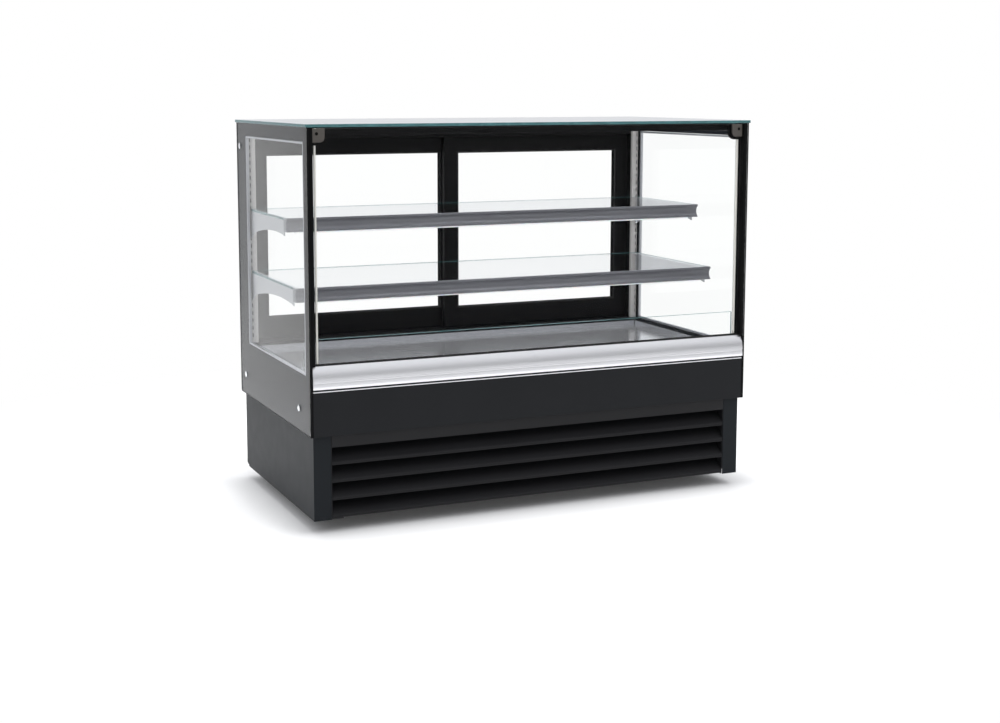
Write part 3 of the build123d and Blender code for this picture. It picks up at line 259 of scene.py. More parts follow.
@dataclass(frozen=True)
class Finish:
    """A named finish that makes its material once."""

    name: str
    base: Tone

    def material(self) -> Material:
        """Gives the material, made at its first use."""
        found = bpy.data.materials.get(self.name)
        if found is None:
            mixer = Mixer(self.name)
            self.lay(mixer)
            found = mixer.material
        return found

    def lay(self, mix: Mixer) -> None:
        """Lays the nodes that give the finish its look."""
        raise NotImplementedError(self.name)


@dataclass(frozen=True)
class Coat(Finish):
    """A plain finish: a clouded colour, an uneven gloss and a fine grain."""

    roughness: float = 0.42
    shine: float = 0.5
    metal: float = 0.0
    clouds: float = 5.0
    cloud_swing: float = 0.04
    gloss_clouds: float = 22.0
    gloss_detail: float = 5.0
    gloss_swing: Span = (-0.015, 0.02)
    grain: float = 700.0
    depth: float = 0.000005

    def lay(self, mix: Mixer) -> None:
        """Lays the clouds, the gloss and the grain."""
        mix.set(Metallic=self.metal, Specular_IOR_Level=self.shine)
        mix.colour(mix.noise(self.clouds, detail=4.0), self.base, self.cloud_swing)
        mix.rough(mix.noise(self.gloss_clouds, self.gloss_detail), self.roughness, self.gloss_swing)
        mix.bump(mix.noise(self.grain, detail=2.0), self.depth)


class Enamel(Coat):
    """Baked powder paint with a fine orange peel."""


@dataclass(frozen=True)
class Polished(Coat):
    """Plated or machined metal: a mirror with a slow haze and faint rubbing marks."""

    roughness: float = 0.12
    metal: float = 1.0
    clouds: float = 60.0
    gloss_clouds: float = 180.0
    gloss_swing: Span = (-0.04, 0.08)
    grain: float = 900.0
    depth: float = 0.00001


@dataclass(frozen=True)
class Moulded(Coat):
    """Moulded plastic or rubber, slightly dulled and with a moulded grain."""

    roughness: float = 0.5
    shine: float = 0.4
    clouds: float = 30.0
    cloud_swing: float = 0.05
    gloss_clouds: float = 120.0
    gloss_detail: float = 4.0
    gloss_swing: Span = (-0.05, 0.08)
    grain: float = 1500.0
    depth: float = 0.000015


@dataclass(frozen=True)
class Brushed(Finish):
    """Metal with fine lines along one axis, such as rolled, brushed or drawn sheet."""

    along: Axis = Axis.X
    metal: float = 1.0
    roughness: float = 0.3
    swing: float = 0.06
    uneven: float = 0.06
    depth: float = 0.000006
    lines: float = 900.0
    gloss_lines: float = 405.0
    draw: float = 0.012

    def lay(self, mix: Mixer) -> None:
        """Lays the lines into colour, gloss and relief."""
        stretch = [self.draw if axis == self.along else 1.0 for axis in Axis]
        grain = mix.noise(self.lines, stretch=stretch)
        gloss = mix.noise(self.gloss_lines, detail=4.0, stretch=stretch)
        mix.set(Metallic=self.metal)
        mix.colour(grain, self.base, self.swing)
        mix.rough(gloss, self.roughness, (-self.uneven, self.uneven))
        mix.bump(grain, self.depth)


@dataclass(frozen=True)
class ClearGlass(Finish):
    """Tempered glass with the faintest roller wave."""

    index: float
    wave: float = 3.0
    depth: float = 0.00004

    def lay(self, mix: Mixer) -> None:
        """Lays clear glass with its slow wave."""
        mix.set(Transmission_Weight=1.0, IOR=self.index, Base_Color=self.base, Roughness=0.0)
        mix.bump(mix.noise(self.wave, detail=1.0), self.depth)


@dataclass(frozen=True)
class PolishedEdge(Finish):
    """The ground and polished edge of a pane, where the long way through the glass shows its green."""

    streaks: float = 26.0
    streak_stretch: Point = (1, 1, 6)
    grinding: float = 200.0
    roughness: float = 0.12
    dulling: Span = (0.0, 0.18)

    def lay(self, mix: Mixer) -> None:
        """Lays a deep green with bright streaks along the edge."""
        mix.set(Specular_IOR_Level=0.6, Transmission_Weight=0.25, IOR=1.5)
        streaks = mix.noise(self.streaks, detail=5.0, stretch=self.streak_stretch)
        mix.colour(streaks, self.base, swing=0.22)
        mix.rough(mix.noise(self.grinding), self.roughness, self.dulling)


@dataclass(frozen=True)
class Milky(Finish):
    """The milky cover of a light strip, with a faint band over each diode."""

    glow: float = 0.25
    diodes: float = 70.0
    band_stretch: Point = (1, 0.05, 0.05)
    dim: Tone = tone(225, 230, 235)
    bright: Tone = tone(255, 255, 255)

    def lay(self, mix: Mixer) -> None:
        """Lays a translucent white with a soft glow of its own."""
        mix.set(Roughness=0.35, Subsurface_Weight=0.3, Emission_Strength=self.glow)
        bands = mix.noise(self.diodes, detail=0.0, stretch=self.band_stretch)
        mix.colour(bands, self.base, swing=0.05)
        mix.link(mix.shades(bands, self.dim, self.bright), mix.skin.inputs["Emission Color"])


@dataclass(frozen=True)
class Bristle(Finish):
    """The pile of a draught brush."""

    fibres: float = 1600.0
    fibre_stretch: Point = (1, 0.08, 0.08)
    roughness: float = 0.7
    shading: Span = (0.0, 0.25)
    depth: float = 0.0004

    def lay(self, mix: Mixer) -> None:
        """Lays fine upright fibres."""
        fibres = mix.noise(self.fibres, detail=2.0, stretch=self.fibre_stretch)
        mix.set(Specular_IOR_Level=0.2, Sheen_Weight=0.4)
        mix.colour(fibres, self.base, swing=0.5)
        mix.rough(fibres, self.roughness, self.shading)
        mix.bump(fibres, self.depth)


BLACK_PAINT = Enamel("satin_black_paint", tone(12, 12, 13), shine=0.06)
PANEL_PAINT = Enamel("panel_black_paint", tone(33, 34, 36), shine=0.08)
PLINTH_PAINT = Enamel("plinth_charcoal_paint", tone(31, 34, 37), shine=0.08)
SIDE_ENAMEL = Enamel("side_border_enamel", tone(28, 31, 35), roughness=0.35, shine=0.04, depth=0.000001)
LOUVRE_PAINT = Enamel("louvre_black_paint", tone(26, 26, 28), roughness=0.45, shine=0.2)
STEEL_PAINT = Enamel("frame_black_paint", tone(38, 38, 40), roughness=0.5, shine=0.3)
BRACKET_PAINT = Enamel("bracket_grey_paint", tone(176, 178, 182), roughness=0.38)
UPRIGHT_PAINT = Enamel("upright_grey_paint", tone(172, 170, 168), roughness=0.4)
COMPRESSOR_PAINT = Enamel("compressor_black_paint", tone(24, 24, 26), roughness=0.28, depth=0.00012)
BRIGHT_ALUMINIUM = Brushed(
    "bright_aluminium", tone(240, 241, 246), roughness=0.2, swing=0.01, uneven=0.012, depth=0.000001
)
SHELF_ALUMINIUM = Brushed("anodised_shelf_aluminium", tone(104, 105, 110), roughness=0.42, metal=0.4)
SPACER_ALUMINIUM = Brushed("spacer_aluminium", tone(190, 192, 198), Axis.Z, roughness=0.4)
DECK_STEEL = Brushed(
    "brushed_stainless", tone(214, 215, 219), metal=0.8, roughness=0.17,
    swing=0.012, uneven=0.015, depth=0.0000005,
)
HINGE_STEEL = Brushed("hinge_steel", tone(88, 84, 80), Axis.Z, metal=0.5, roughness=0.4)
FIN_ALUMINIUM = Brushed("fin_aluminium", tone(205, 207, 210), Axis.Z, roughness=0.35)
PULL_ALUMINIUM = Brushed("pull_rim_aluminium", tone(120, 121, 124), Axis.Z, roughness=0.35)
CHROME = Polished("chrome_plate", tone(235, 236, 238))
DARK_SCREW = Polished("blackened_screw", tone(34, 33, 32), roughness=0.34)
ZINC_SCREW = Polished("zinc_screw", tone(200, 202, 206), roughness=0.28)
COPPER = Polished("drawn_copper", tone(214, 138, 98), roughness=0.28)
PANE = ClearGlass("clear_tempered_glass", (0.996, 1.0, 0.998), 1.09)
SIDE_PANE = ClearGlass("side_tempered_glass", (0.996, 1.0, 0.999), 1.085)
TOP_PANE = ClearGlass("top_tempered_glass", (0.97, 0.99, 0.985), 1.45)
EDGE = PolishedEdge("polished_glass_edge", tone(72, 118, 121))
DARK_EDGE = Enamel("blackened_glass_edge", tone(14, 15, 16), roughness=0.3, shine=0.1)
RUBBER = Moulded("black_rubber", tone(22, 22, 23), roughness=0.62, shine=0.25)
SEAL = Moulded("cream_seal", tone(246, 242, 232))
CAP_PLASTIC = Moulded("grey_end_cap", tone(128, 130, 135), roughness=0.42)
FAN_PLASTIC = Moulded("black_fan_plastic", tone(28, 28, 30), roughness=0.4)
SWITCH_PLASTIC = Moulded("gloss_black_switch", tone(20, 20, 22), roughness=0.3, shine=0.35)
FOOT_PLASTIC = Moulded("black_foot_plastic", tone(26, 26, 28))
MARK_WHITE = Moulded("moulded_white_mark", tone(225, 225, 222), roughness=0.4)
LENS = Milky("milky_light_cover", tone(238, 240, 240))
PILE = Bristle("brush_pile", tone(46, 46, 48))


class Slot(Enum):
    """The record's material slots, each with the finish that its nodes wear."""

    CLEAR_GLASS = ("clear_glass", PANE)
    TOP_GLASS = ("top_glass", TOP_PANE)
    DOOR_GLASS = ("door_glass", PANE)
    SIDE_FRAME = ("side_frame", SIDE_ENAMEL)
    BLACK_FRAME = ("black_frame", BLACK_PAINT)
    BLACK_RUBBER = ("black_rubber", RUBBER)
    CREAM_SEAL = ("cream_seal", SEAL)
    HINGE_METAL = ("hinge_metal", HINGE_STEEL)
    CHROME = ("chrome", CHROME)
    BRIGHT_ALUMINIUM = ("bright_aluminium", BRIGHT_ALUMINIUM)
    SHELF_METAL = ("shelf_metal", SHELF_ALUMINIUM)
    SHELF_CAP = ("shelf_cap", CAP_PLASTIC)
    LIGHT = ("light", LENS)
    STAINLESS = ("stainless", DECK_STEEL)
    OUTER_SHEET = ("outer_sheet", PLINTH_PAINT)
    BASE_STEEL = ("base_steel", STEEL_PAINT)
    COIL = ("coil", FIN_ALUMINIUM)
    FAN_PLASTIC = ("fan_plastic", FAN_PLASTIC)
    COMPRESSOR = ("compressor", COMPRESSOR_PAINT)
    COPPER = ("copper", COPPER)
    SWITCH = ("switch", SWITCH_PLASTIC)
    FOOT = ("foot", FOOT_PLASTIC)

    def __init__(self, label: str, finish: Finish) -> None:
        """Keeps the slot's name in the record and its finish."""
        self.label = label
        self.finish = finish


SLOT_OF: dict[str, Slot] = {
    part["node"]: Slot[part["material_slot"].upper()] for part in frame["record"]["subparts"]
}


def standing(foot: Point, way: Point) -> Matrix:
    """Gives the place and turn that stand an upright shape on its foot, facing a way."""
    turn = Vector((0, 0, 1)).rotation_difference(Vector(way)).to_matrix().to_4x4()
    return Matrix.Translation(Vector(foot)) @ turn


def closed(outline: Sequence[Span]) -> list[Span]:
    """Gives an outline that ends where it starts."""
    return [*outline, outline[0]]


class Form:
    """A mesh that grows by bmesh operators and ends as one finished piece."""

    # A screw head's sides, and where its crown starts, its flat and its socket, as shares.
    HEAD_SIDES = 24
    SOCKET_SIDES = 6
    CROWN_START = 0.6
    CROWN_FLAT = 0.84
    SOCKET_WIDTH = 0.5

    def __init__(self) -> None:
        """Starts with an empty mesh."""
        self.bm = bmesh.new()

    @classmethod
    def copy_of(cls, node: str, ease: float = 0.0, steps: int = 2) -> "Form":
        """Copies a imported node, merged and with its sharp edges eased.

        Args:
            node: The node's name.
            ease: How far each edge is eased, or nothing.
            steps: Faces across each eased edge.

        Returns:
            The form.
        """
        form = cls()
        form.bm.from_mesh(frame["nodes"][node].data)
        bmesh.ops.remove_doubles(form.bm, verts=form.bm.verts, dist=WELD)
        bmesh.ops.dissolve_limit(
            form.bm, angle_limit=FLAT_ANGLE, verts=form.bm.verts, edges=form.bm.edges
        )
        if ease > 0:
            form.ease(form.sharp_edges(), ease, steps)
        return form

    def sharp_edges(self) -> list[bmesh.types.BMEdge]:
        """Gives the edges where two faces meet at a real corner."""
        return [
            edge
            for edge in self.bm.edges
            if len(edge.link_faces) == 2 and edge.calc_face_angle(0.0) > CORNER_ANGLE
        ]

    def ease(self, edges: Iterable[bmesh.types.BMEdge], amount: float, steps: int = 2) -> None:
        """Rounds edges over.

        Args:
            edges: The edges.
            amount: How far each is rounded.
            steps: Faces across each.
        """
        bmesh.ops.bevel(
            self.bm,
            geom=list(edges),
            offset=amount,
            offset_type="OFFSET",
            segments=steps,
            profile=0.5,
            affect="EDGES",
            clamp_overlap=True,
            material=-1,
        )

    def box(self, low: Point, high: Point, ease: float = 0.0, steps: int = 2, tilt: float = 0.0) -> None:
        """Adds a block between two corners.

        Args:
            low: Its low corner.
            high: Its high corner.
            ease: How far its edges are eased, or nothing.
            steps: Faces across each eased edge.
            tilt: Its turn about X through its middle.
        """
        verts = bmesh.ops.create_cube(self.bm, size=1.0)["verts"]
        size = Vector(high) - Vector(low)
        bmesh.ops.scale(self.bm, vec=size, verts=verts)
        bmesh.ops.rotate(self.bm, cent=(0, 0, 0), matrix=Matrix.Rotation(tilt, 3, "X"), verts=verts)
        bmesh.ops.translate(self.bm, vec=(Vector(low) + Vector(high)) / 2, verts=verts)
        if ease > 0:
            self.ease({edge for vert in verts for edge in vert.link_edges}, ease, steps)

    def pair(self, low: Point, high: Point, ease: float) -> None:
        """Adds a block on the right side and its mirror image on the left.

        Args:
            low: The right block's low corner.
            high: Its high corner.
            ease: How far the edges are eased.
        """
        for side in SIDES.values():
            left, right = sorted((side * low[0], side * high[0]))
            self.box((left, *low[1:]), (right, *high[1:]), ease)

    def frame_of_bars(self, low: Point, high: Point, width: float, ease: float) -> None:
        """Adds four bars round an opening that faces along Y.

        Args:
            low: The low corner of the bars' outer block.
            high: The high corner of the bars' outer block.
            width: How wide each bar is.
            ease: How far its edges are eased.
        """
        (left, front, bottom), (right, rear, top) = low, high
        self.box((left, front, bottom), (right, rear, bottom + width), ease)
        self.box((left, front, top - width), (right, rear, top), ease)
        self.box((left, front, bottom + width), (left + width, rear, top - width), ease)
        self.box((right - width, front, bottom + width), (right, rear, top - width), ease)

    def turned(self, profile: Sequence[Point], foot: Point, axis: Point, steps: int = 32) -> None:
        """Adds a shape turned about an axis.

        Args:
            profile: Radius and height of each point, from one end to the other.
            foot: Where height zero is on the axis.
            axis: The axis's direction.
            steps: How many faces go round.
        """
        stand = standing(foot, axis)
        verts = [self.bm.verts.new(stand @ Vector((radius, 0, height))) for radius, height in profile]
        edges = [self.bm.edges.new(pair) for pair in zip(verts, verts[1:])]
        bmesh.ops.spin(
            self.bm,
            geom=verts + edges,
            cent=Vector(foot),
            axis=Vector(axis).normalized(),
            dvec=(0, 0, 0),
            angle=2 * pi,
            steps=steps,
            use_merge=True,
            use_duplicate=False,
        )
        bmesh.ops.remove_doubles(self.bm, verts=self.bm.verts, dist=WELD)
        bmesh.ops.recalc_face_normals(self.bm, faces=self.bm.faces)

    def screw(
        self, head: Point, out: Point, radius: float, proud: float = 0.001, sunk: float = 0.0012
    ) -> None:
        """Adds the head of a hexagon socket screw.

        Args:
            head: The middle of the head's seat.
            out: The way that the head faces.
            radius: The head's radius.
            proud: How far the head stands out.
            sunk: How deep the socket is.
        """
        stand = standing(head, out)
        crown, socket = radius * self.CROWN_FLAT, radius * self.SOCKET_WIDTH

        def ring(sides: int, size: float, height: float) -> list[bmesh.types.BMEdge]:
            """Adds a ring round the screw's axis and gives its edges."""
            place = stand @ Matrix.Translation((0, 0, height))
            verts = bmesh.ops.create_circle(self.bm, segments=sides, radius=size, matrix=place)["verts"]
            return list({edge for vert in verts for edge in vert.link_edges})

        rings = [
            ring(self.HEAD_SIDES, radius, 0.0),
            ring(self.HEAD_SIDES, radius, proud * self.CROWN_START),
            ring(self.HEAD_SIDES, crown, proud),
            ring(self.SOCKET_SIDES, socket, proud),
            ring(self.SOCKET_SIDES, socket, proud - sunk),
        ]
        for below, above in zip(rings, rings[1:]):
            bmesh.ops.bridge_loops(self.bm, edges=below + above)
        for ends in (rings[0], rings[-1]):
            bmesh.ops.contextual_create(self.bm, geom=ends)
        bmesh.ops.recalc_face_normals(self.bm, faces=self.bm.faces)

    def paint_by_facing(self, axis: Axis) -> None:
        """Gives every face that looks away from one axis the second finish."""
        self.bm.normal_update()
        for face in self.bm.faces:
            if abs(face.normal[axis]) < FACING:
                face.material_index = 1

    def thin(self, axis: Axis, amount: float) -> None:
        """Brings both faces of each flat shape in, so that they clear what touches them.

        Args:
            axis: The axis through the shape's thickness.
            amount: How far each face comes in.
        """
        for island in self.islands():
            places = [vert.co[axis] for vert in island]
            low, high = min(places), max(places)
            middle, share = (low + high) / 2, 1 - 2 * amount / (high - low)
            for vert in island:
                vert.co[axis] = middle + (vert.co[axis] - middle) * share

    def islands(self) -> list[list[bmesh.types.BMVert]]:
        """Splits the mesh's points into the shapes that hang together."""
        left, found = set(self.bm.verts), []
        while left:
            todo, island = [left.pop()], []
            while todo:
                vert = todo.pop()
                island.append(vert)
                near = {edge.other_vert(vert) for edge in vert.link_edges} & left
                left -= near
                todo += near
            found.append(island)
        return found

    def piece(
        self,
        name: str,
        finishes: Finish | Sequence[Finish],
        slot: Slot,
        body: Body = Body.CASE,
        stands_for: Sequence[str] = (),
        smooth: float = SMOOTH_ANGLE,
    ) -> Object:
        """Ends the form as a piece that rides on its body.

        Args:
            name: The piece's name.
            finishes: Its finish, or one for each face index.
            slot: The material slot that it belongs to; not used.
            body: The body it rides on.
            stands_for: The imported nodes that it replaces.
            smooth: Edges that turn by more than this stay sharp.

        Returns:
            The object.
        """
        mesh = bpy.data.meshes.new(name)
        self.bm.to_mesh(mesh)
        self.bm.free()
        kept_normals = mesh.attributes.get("custom_normal")
        if kept_normals is not None:
            mesh.attributes.remove(kept_normals)
        for finish in [finishes] if isinstance(finishes, Finish) else finishes:
            mesh.materials.append(finish.material())
        mesh.shade_smooth()
        mesh.set_sharp_from_angle(angle=smooth)
        made = bpy.data.objects.new(name, mesh)
        bpy.context.scene.collection.objects.link(made)
        if smooth > PANE_ANGLE:
            even = made.modifiers.new("even_faces", "WEIGHTED_NORMAL")
            even.weight = FACE_WEIGHT
            even.keep_sharp = True
        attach(made, body.value)
        if stands_for:
            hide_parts(*stands_for)
        return made


def eased_node(node: str, finish: Finish, ease: float, body: Body = Body.CASE, steps: int = 2) -> Object:
    """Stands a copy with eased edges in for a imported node, on the body that the node rides on."""
    form = Form.copy_of(node, ease, steps)
    return form.piece(f"{node}_skin", finish, SLOT_OF[node], body, [node])


def glass_pane(
    node: str, across: Axis, finish: Finish = PANE, edge: Finish = EDGE, body: Body = Body.CASE
) -> None:
    """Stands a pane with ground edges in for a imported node.

    Args:
        node: The node's name.
        across: The axis through its thickness.
        finish: The finish of its faces.
        edge: The finish of its edges.
        body: The body it rides on.
    """
    form = Form.copy_of(node, ARRIS, 1)
    form.thin(across, HAIR)
    form.paint_by_facing(across)
    pane = form.piece(f"{node}_pane", [finish, edge], SLOT_OF[node], body, [node], PANE_ANGLE)
    pane.visible_shadow = False
    pane.visible_diffuse = False


@dataclass
class Assembly:
    """What every sub-assembly has: how far its edges are eased and a way to build it."""

    ease: float = 0.0006

    def build(self) -> None:
        """Reports which assembly it builds, then builds the pieces."""
        log.info("building %s", type(self).__name__)
        self.make()

    def make(self) -> None:
        """Makes the pieces."""
        raise NotImplementedError(type(self).__name__)


@dataclass
class Glazing(Assembly):
    """The fixed glass: top, double glazed sides and the low glass, with its spacers and caps."""

    spacer: float = 0.006
    spacer_across: Span = (0.7355, 0.7445)
    spacer_inset: float = 0.0015
    spacer_ease: float = 0.0008
    window: tuple[float, float, float, float] = (-0.345, 0.293, 0.473, 1.1655)
    bolts: tuple[Span, ...] = ((0.355, 1.130), (0.326, 0.366), (-0.277, 0.366))
    cap_proud: float = 0.0026
    cap_dome: float = 0.0086
    cap_dip: float = 0.0011
    cap_bends: tuple[float, ...] = (0.3, 0.6, 0.9, 1.2, 1.5)
    cap_rim: tuple[Span, ...] = ((0.009, 0.0012), (0.010, 0.0008), (0.010, 0.0))
    cap_sides: int = 36

    def spacers(self) -> None:
        """Makes the bars that part the two side panes."""
        front, rear, low, high = self.window
        front, rear = front + self.spacer_inset, rear - self.spacer_inset
        low, high = low + self.spacer_inset, high - self.spacer_inset
        for word, side in SIDES.items():
            inner, outer = sorted(side * edge for edge in self.spacer_across)
            form = Form()
            for y_low, y_high, z_low, z_high in (
                (front, rear, low, low + self.spacer),
                (front, rear, high - self.spacer, high),
                (front, front + self.spacer, low, high),
                (rear - self.spacer, rear, low, high),
            ):
                form.box((inner, y_low, z_low), (outer, y_high, z_high), self.spacer_ease)
            form.piece(f"glazing_spacer_{word}", SPACER_ALUMINIUM, Slot.BRIGHT_ALUMINIUM)

    def caps(self) -> None:
        """Makes the domed caps of the side bolts."""
        dome = [
            (self.cap_dome * sin(bend), self.cap_proud - self.cap_dip * (1 - cos(bend)))
            for bend in self.cap_bends
        ]
        outline = [(0.0, self.cap_proud), *dome, *self.cap_rim, (0.0, 0.0)]
        _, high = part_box("glass_caps")
        form = Form()
        for side in SIDES.values():
            for y, z in self.bolts:
                seat = (side * (high.x - self.cap_proud), y, z)
                form.turned(outline, seat, (side, 0, 0), self.cap_sides)
        form.piece("bolt_caps", CHROME, Slot.CHROME, stands_for=["glass_caps"])

    def make(self) -> None:
        """Makes the panes, spacers and caps."""
        glass_pane("top_glass", Axis.Z, TOP_PANE)
        for node in ("side_glass_left", "side_glass_right", "inner_panes"):
            glass_pane(node, Axis.X, SIDE_PANE, DARK_EDGE)
        glass_pane("low_glass", Axis.Y)
        self.spacers()
        self.caps()


@dataclass
class Framework(Assembly):
    """The black frame, the bright bumper and the outer panels."""

    thin_ease: float = 0.0004
    front_panel_ease: float = 0.0015
    rear_panel_ease: float = 0.001
    strip_half: float = 0.7405
    insert: tuple[float, float, float, float] = (-0.3966, -0.3944, 0.4583, 0.4617)
    insert_ease: float = 0.0008
    trim: tuple[float, float, float, float] = (-0.3934, -0.3902, 0.4308, 0.4343)
    trim_ease: float = 0.0012
    rear_face: float = 0.393
    screw_radius: float = 0.004
    rear_screws: tuple[Span, ...] = (
        (0.7215, 0.540), (0.7215, 0.830), (0.7215, 1.110), (0.690, 1.180), (0.230, 1.180),
        (0.715, 0.318), (0.715, 0.426), (0.100, 0.318), (0.100, 0.426),
    )

    def make(self) -> None:
        """Makes the frame, the bumper and the panels."""
        for word in SIDES:
            eased_node(f"side_frame_{word}", SIDE_ENAMEL, self.thin_ease)
            eased_node(f"front_post_{word}", BLACK_PAINT, self.ease)
            eased_node(f"rear_post_{word}", BLACK_PAINT, self.ease)
        for node in ("front_header", "rear_header", "rear_sill", "low_glass_channel"):
            eased_node(node, BLACK_PAINT, self.ease)
        eased_node("front_panel", PANEL_PAINT, self.front_panel_ease, steps=3)
        eased_node("rear_panel", PANEL_PAINT, self.rear_panel_ease)
        eased_node("bumper", BRIGHT_ALUMINIUM, self.thin_ease)
        self.bright_strips()
        screws = Form()
        for x, z in self.rear_screws:
            for side in SIDES.values():
                screws.screw((side * x, self.rear_face, z), (0, 1, 0), self.screw_radius)
        screws.piece("rear_frame_screws", DARK_SCREW, Slot.BLACK_FRAME)

    def bright_strips(self) -> None:
        """Makes the insert in the bumper's groove and the trim over the front panel."""
        for name, (front, back, low, high), ease in (
            ("bumper_insert", self.insert, self.insert_ease),
            ("panel_top_trim", self.trim, self.trim_ease),
        ):
            strip = Form()
            strip.box((-self.strip_half, front, low), (self.strip_half, back, high), ease, steps=3)
            strip.piece(name, BRIGHT_ALUMINIUM, Slot.BRIGHT_ALUMINIUM)


@dataclass
class LiftGlass(Assembly):
    """The front glass with its hinges, seals and gasket."""

    plate_ease: float = 0.0007
    seal_ease: float = 0.0008
    screw_seat: Place = (0.7171, -0.3834, 1.188)
    screw_head: Place = (0.0048, 0.00045, 0.0022)

    def make(self) -> None:
        """Makes the pane, the hinge plates and the strips."""
        body = Body.LIFT_GLASS
        glass_pane("front_glass", Axis.Y, PANE, DARK_EDGE, body)
        eased_node("hinge_plates", HINGE_STEEL, self.plate_ease, body)
        eased_node("hinge_backings", BLACK_PAINT, self.ease, body)
        eased_node("glass_seals", SEAL, self.seal_ease, body)
        eased_node("bottom_gasket", RUBBER, self.ease, body)
        x, y, z = self.screw_seat
        screws = Form()
        for side in SIDES.values():
            screws.screw((side * x, y, z), (0, -1, 0), *self.screw_head)
        screws.piece("hinge_screws", DARK_SCREW, Slot.HINGE_METAL, body)


@dataclass
class RearDoor(Assembly):
    """A sliding rear door with its pane, beads and pull."""

    word: str = "left"
    body: Body = Body.LEFT_DOOR
    stile: float = 0.049
    window: Span = (0.545, 1.099)
    bead: float = 0.0055
    bead_proud: float = 0.0008
    bead_sunk: float = 0.002
    bead_lap: float = 0.0005
    bead_ease: float = 0.0009
    pull_x: float = 0.673
    pull_size: Span = (0.018, 0.120)
    rim: float = 0.0015
    rim_lap: float = 0.001
    rim_proud: float = 0.0007
    rim_sunk: float = 0.006
    rim_ease: float = 0.0005
    holder_x: Span = (0.0120, 0.0210)
    holder_y: Span = (-0.0024, 0.001)
    holder_gap: float = 0.005
    holder_ease: float = 0.0006
    pile_x: Span = (0.0145, 0.0185)
    pile_y: Span = (-0.0048, -0.001)
    pile_gap: float = 0.007
    pile_ease: float = 0.0008

    def make(self) -> None:
        """Makes the door's frame, pane, beads, pull and, on the inner door, the brush."""
        frame_node = f"door_frame_{self.word}"
        eased_node(frame_node, BLACK_PAINT, self.ease, self.body)
        glass_pane(f"door_pane_{self.word}", Axis.Y, body=self.body)
        low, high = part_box(frame_node)
        self.beads(low, high)
        self.pull(low, high)
        if self.body is Body.LEFT_DOOR:
            self.brush(low, high)

    def beads(self, low: Vector, high: Vector) -> None:
        """Makes the rubber beads that hold the pane, on both faces of the frame."""
        bottom, top = self.window
        inset = self.stile - self.bead_lap
        form = Form()
        for front, rear in (
            (low.y - self.bead_proud, low.y + self.bead_sunk),
            (high.y - self.bead_sunk, high.y + self.bead_proud),
        ):
            form.frame_of_bars(
                (low.x + inset, front, bottom - self.bead_lap),
                (high.x - inset, rear, top + self.bead_lap),
                self.bead,
                self.bead_ease,
            )
        form.piece(f"door_bead_{self.word}", RUBBER, Slot.BLACK_RUBBER, self.body)

    def pull(self, low: Vector, high: Vector) -> None:
        """Makes the bright rim of the recessed pull."""
        wide, tall = self.pull_size
        side = SIDES[self.word]
        left, right = sorted((side * (self.pull_x - self.rim), side * (self.pull_x + wide + self.rim)))
        middle, half = (low.z + high.z) / 2, tall / 2 + self.rim
        form = Form()
        form.frame_of_bars(
            (left, high.y - self.rim_sunk, middle - half),
            (right, high.y + self.rim_proud, middle + half),
            self.rim + self.rim_lap,
            self.rim_ease,
        )
        form.piece(f"pull_rim_{self.word}", PULL_ALUMINIUM, Slot.SHELF_METAL, self.body)

    def brush(self, low: Vector, high: Vector) -> None:
        """Makes the draught brush between the two doors: its holder and its pile."""
        for name, finish, (left, right), (front, rear), gap, ease in (
            ("brush_holder", RUBBER, self.holder_x, self.holder_y, self.holder_gap, self.holder_ease),
            ("brush_pile", PILE, self.pile_x, self.pile_y, self.pile_gap, self.pile_ease),
        ):
            form = Form()
            form.box((left, low.y + front, low.z + gap), (right, low.y + rear, high.z - gap), ease)
            form.piece(name, finish, Slot.BLACK_RUBBER, self.body)


@dataclass
class Shelves(Assembly):
    """Both shelves with their glass, front profiles, caps, brackets, uprights and lights."""

    metal_ease: float = 0.0005
    upright_ease: float = 0.0004
    light_ease: float = 0.0008
    light_end_low: Place = (0.6965, -0.3312, 1.1822)
    light_end_high: Place = (0.7012, -0.3068, 1.1888)

    def make(self) -> None:
        """Makes the shelves, what carries them and the lights."""
        for level in ("upper", "lower"):
            glass_pane(f"shelf_glass_{level}", Axis.Z)
            eased_node(f"shelf_profile_{level}", SHELF_ALUMINIUM, self.metal_ease)
            eased_node(f"shelf_brackets_{level}", BRACKET_PAINT, self.metal_ease)
        eased_node("shelf_end_caps", CAP_PLASTIC, self.metal_ease)
        for word in SIDES:
            eased_node(f"upright_{word}", UPRIGHT_PAINT, self.upright_ease)
        eased_node("light_strips", LENS, self.light_ease)
        ends = Form()
        ends.pair(self.light_end_low, self.light_end_high, self.light_ease)
        ends.piece("light_strip_ends", CAP_PLASTIC, Slot.SHELF_CAP)


@dataclass
class ColdWell(Assembly):
    """The slotted deck and the liner of the cold well under it."""

    ease: float = 0.0003

    def make(self) -> None:
        """Makes the deck and the liner."""
        for node in ("deck_pan", "well_liner"):
            eased_node(node, DECK_STEEL, self.ease)


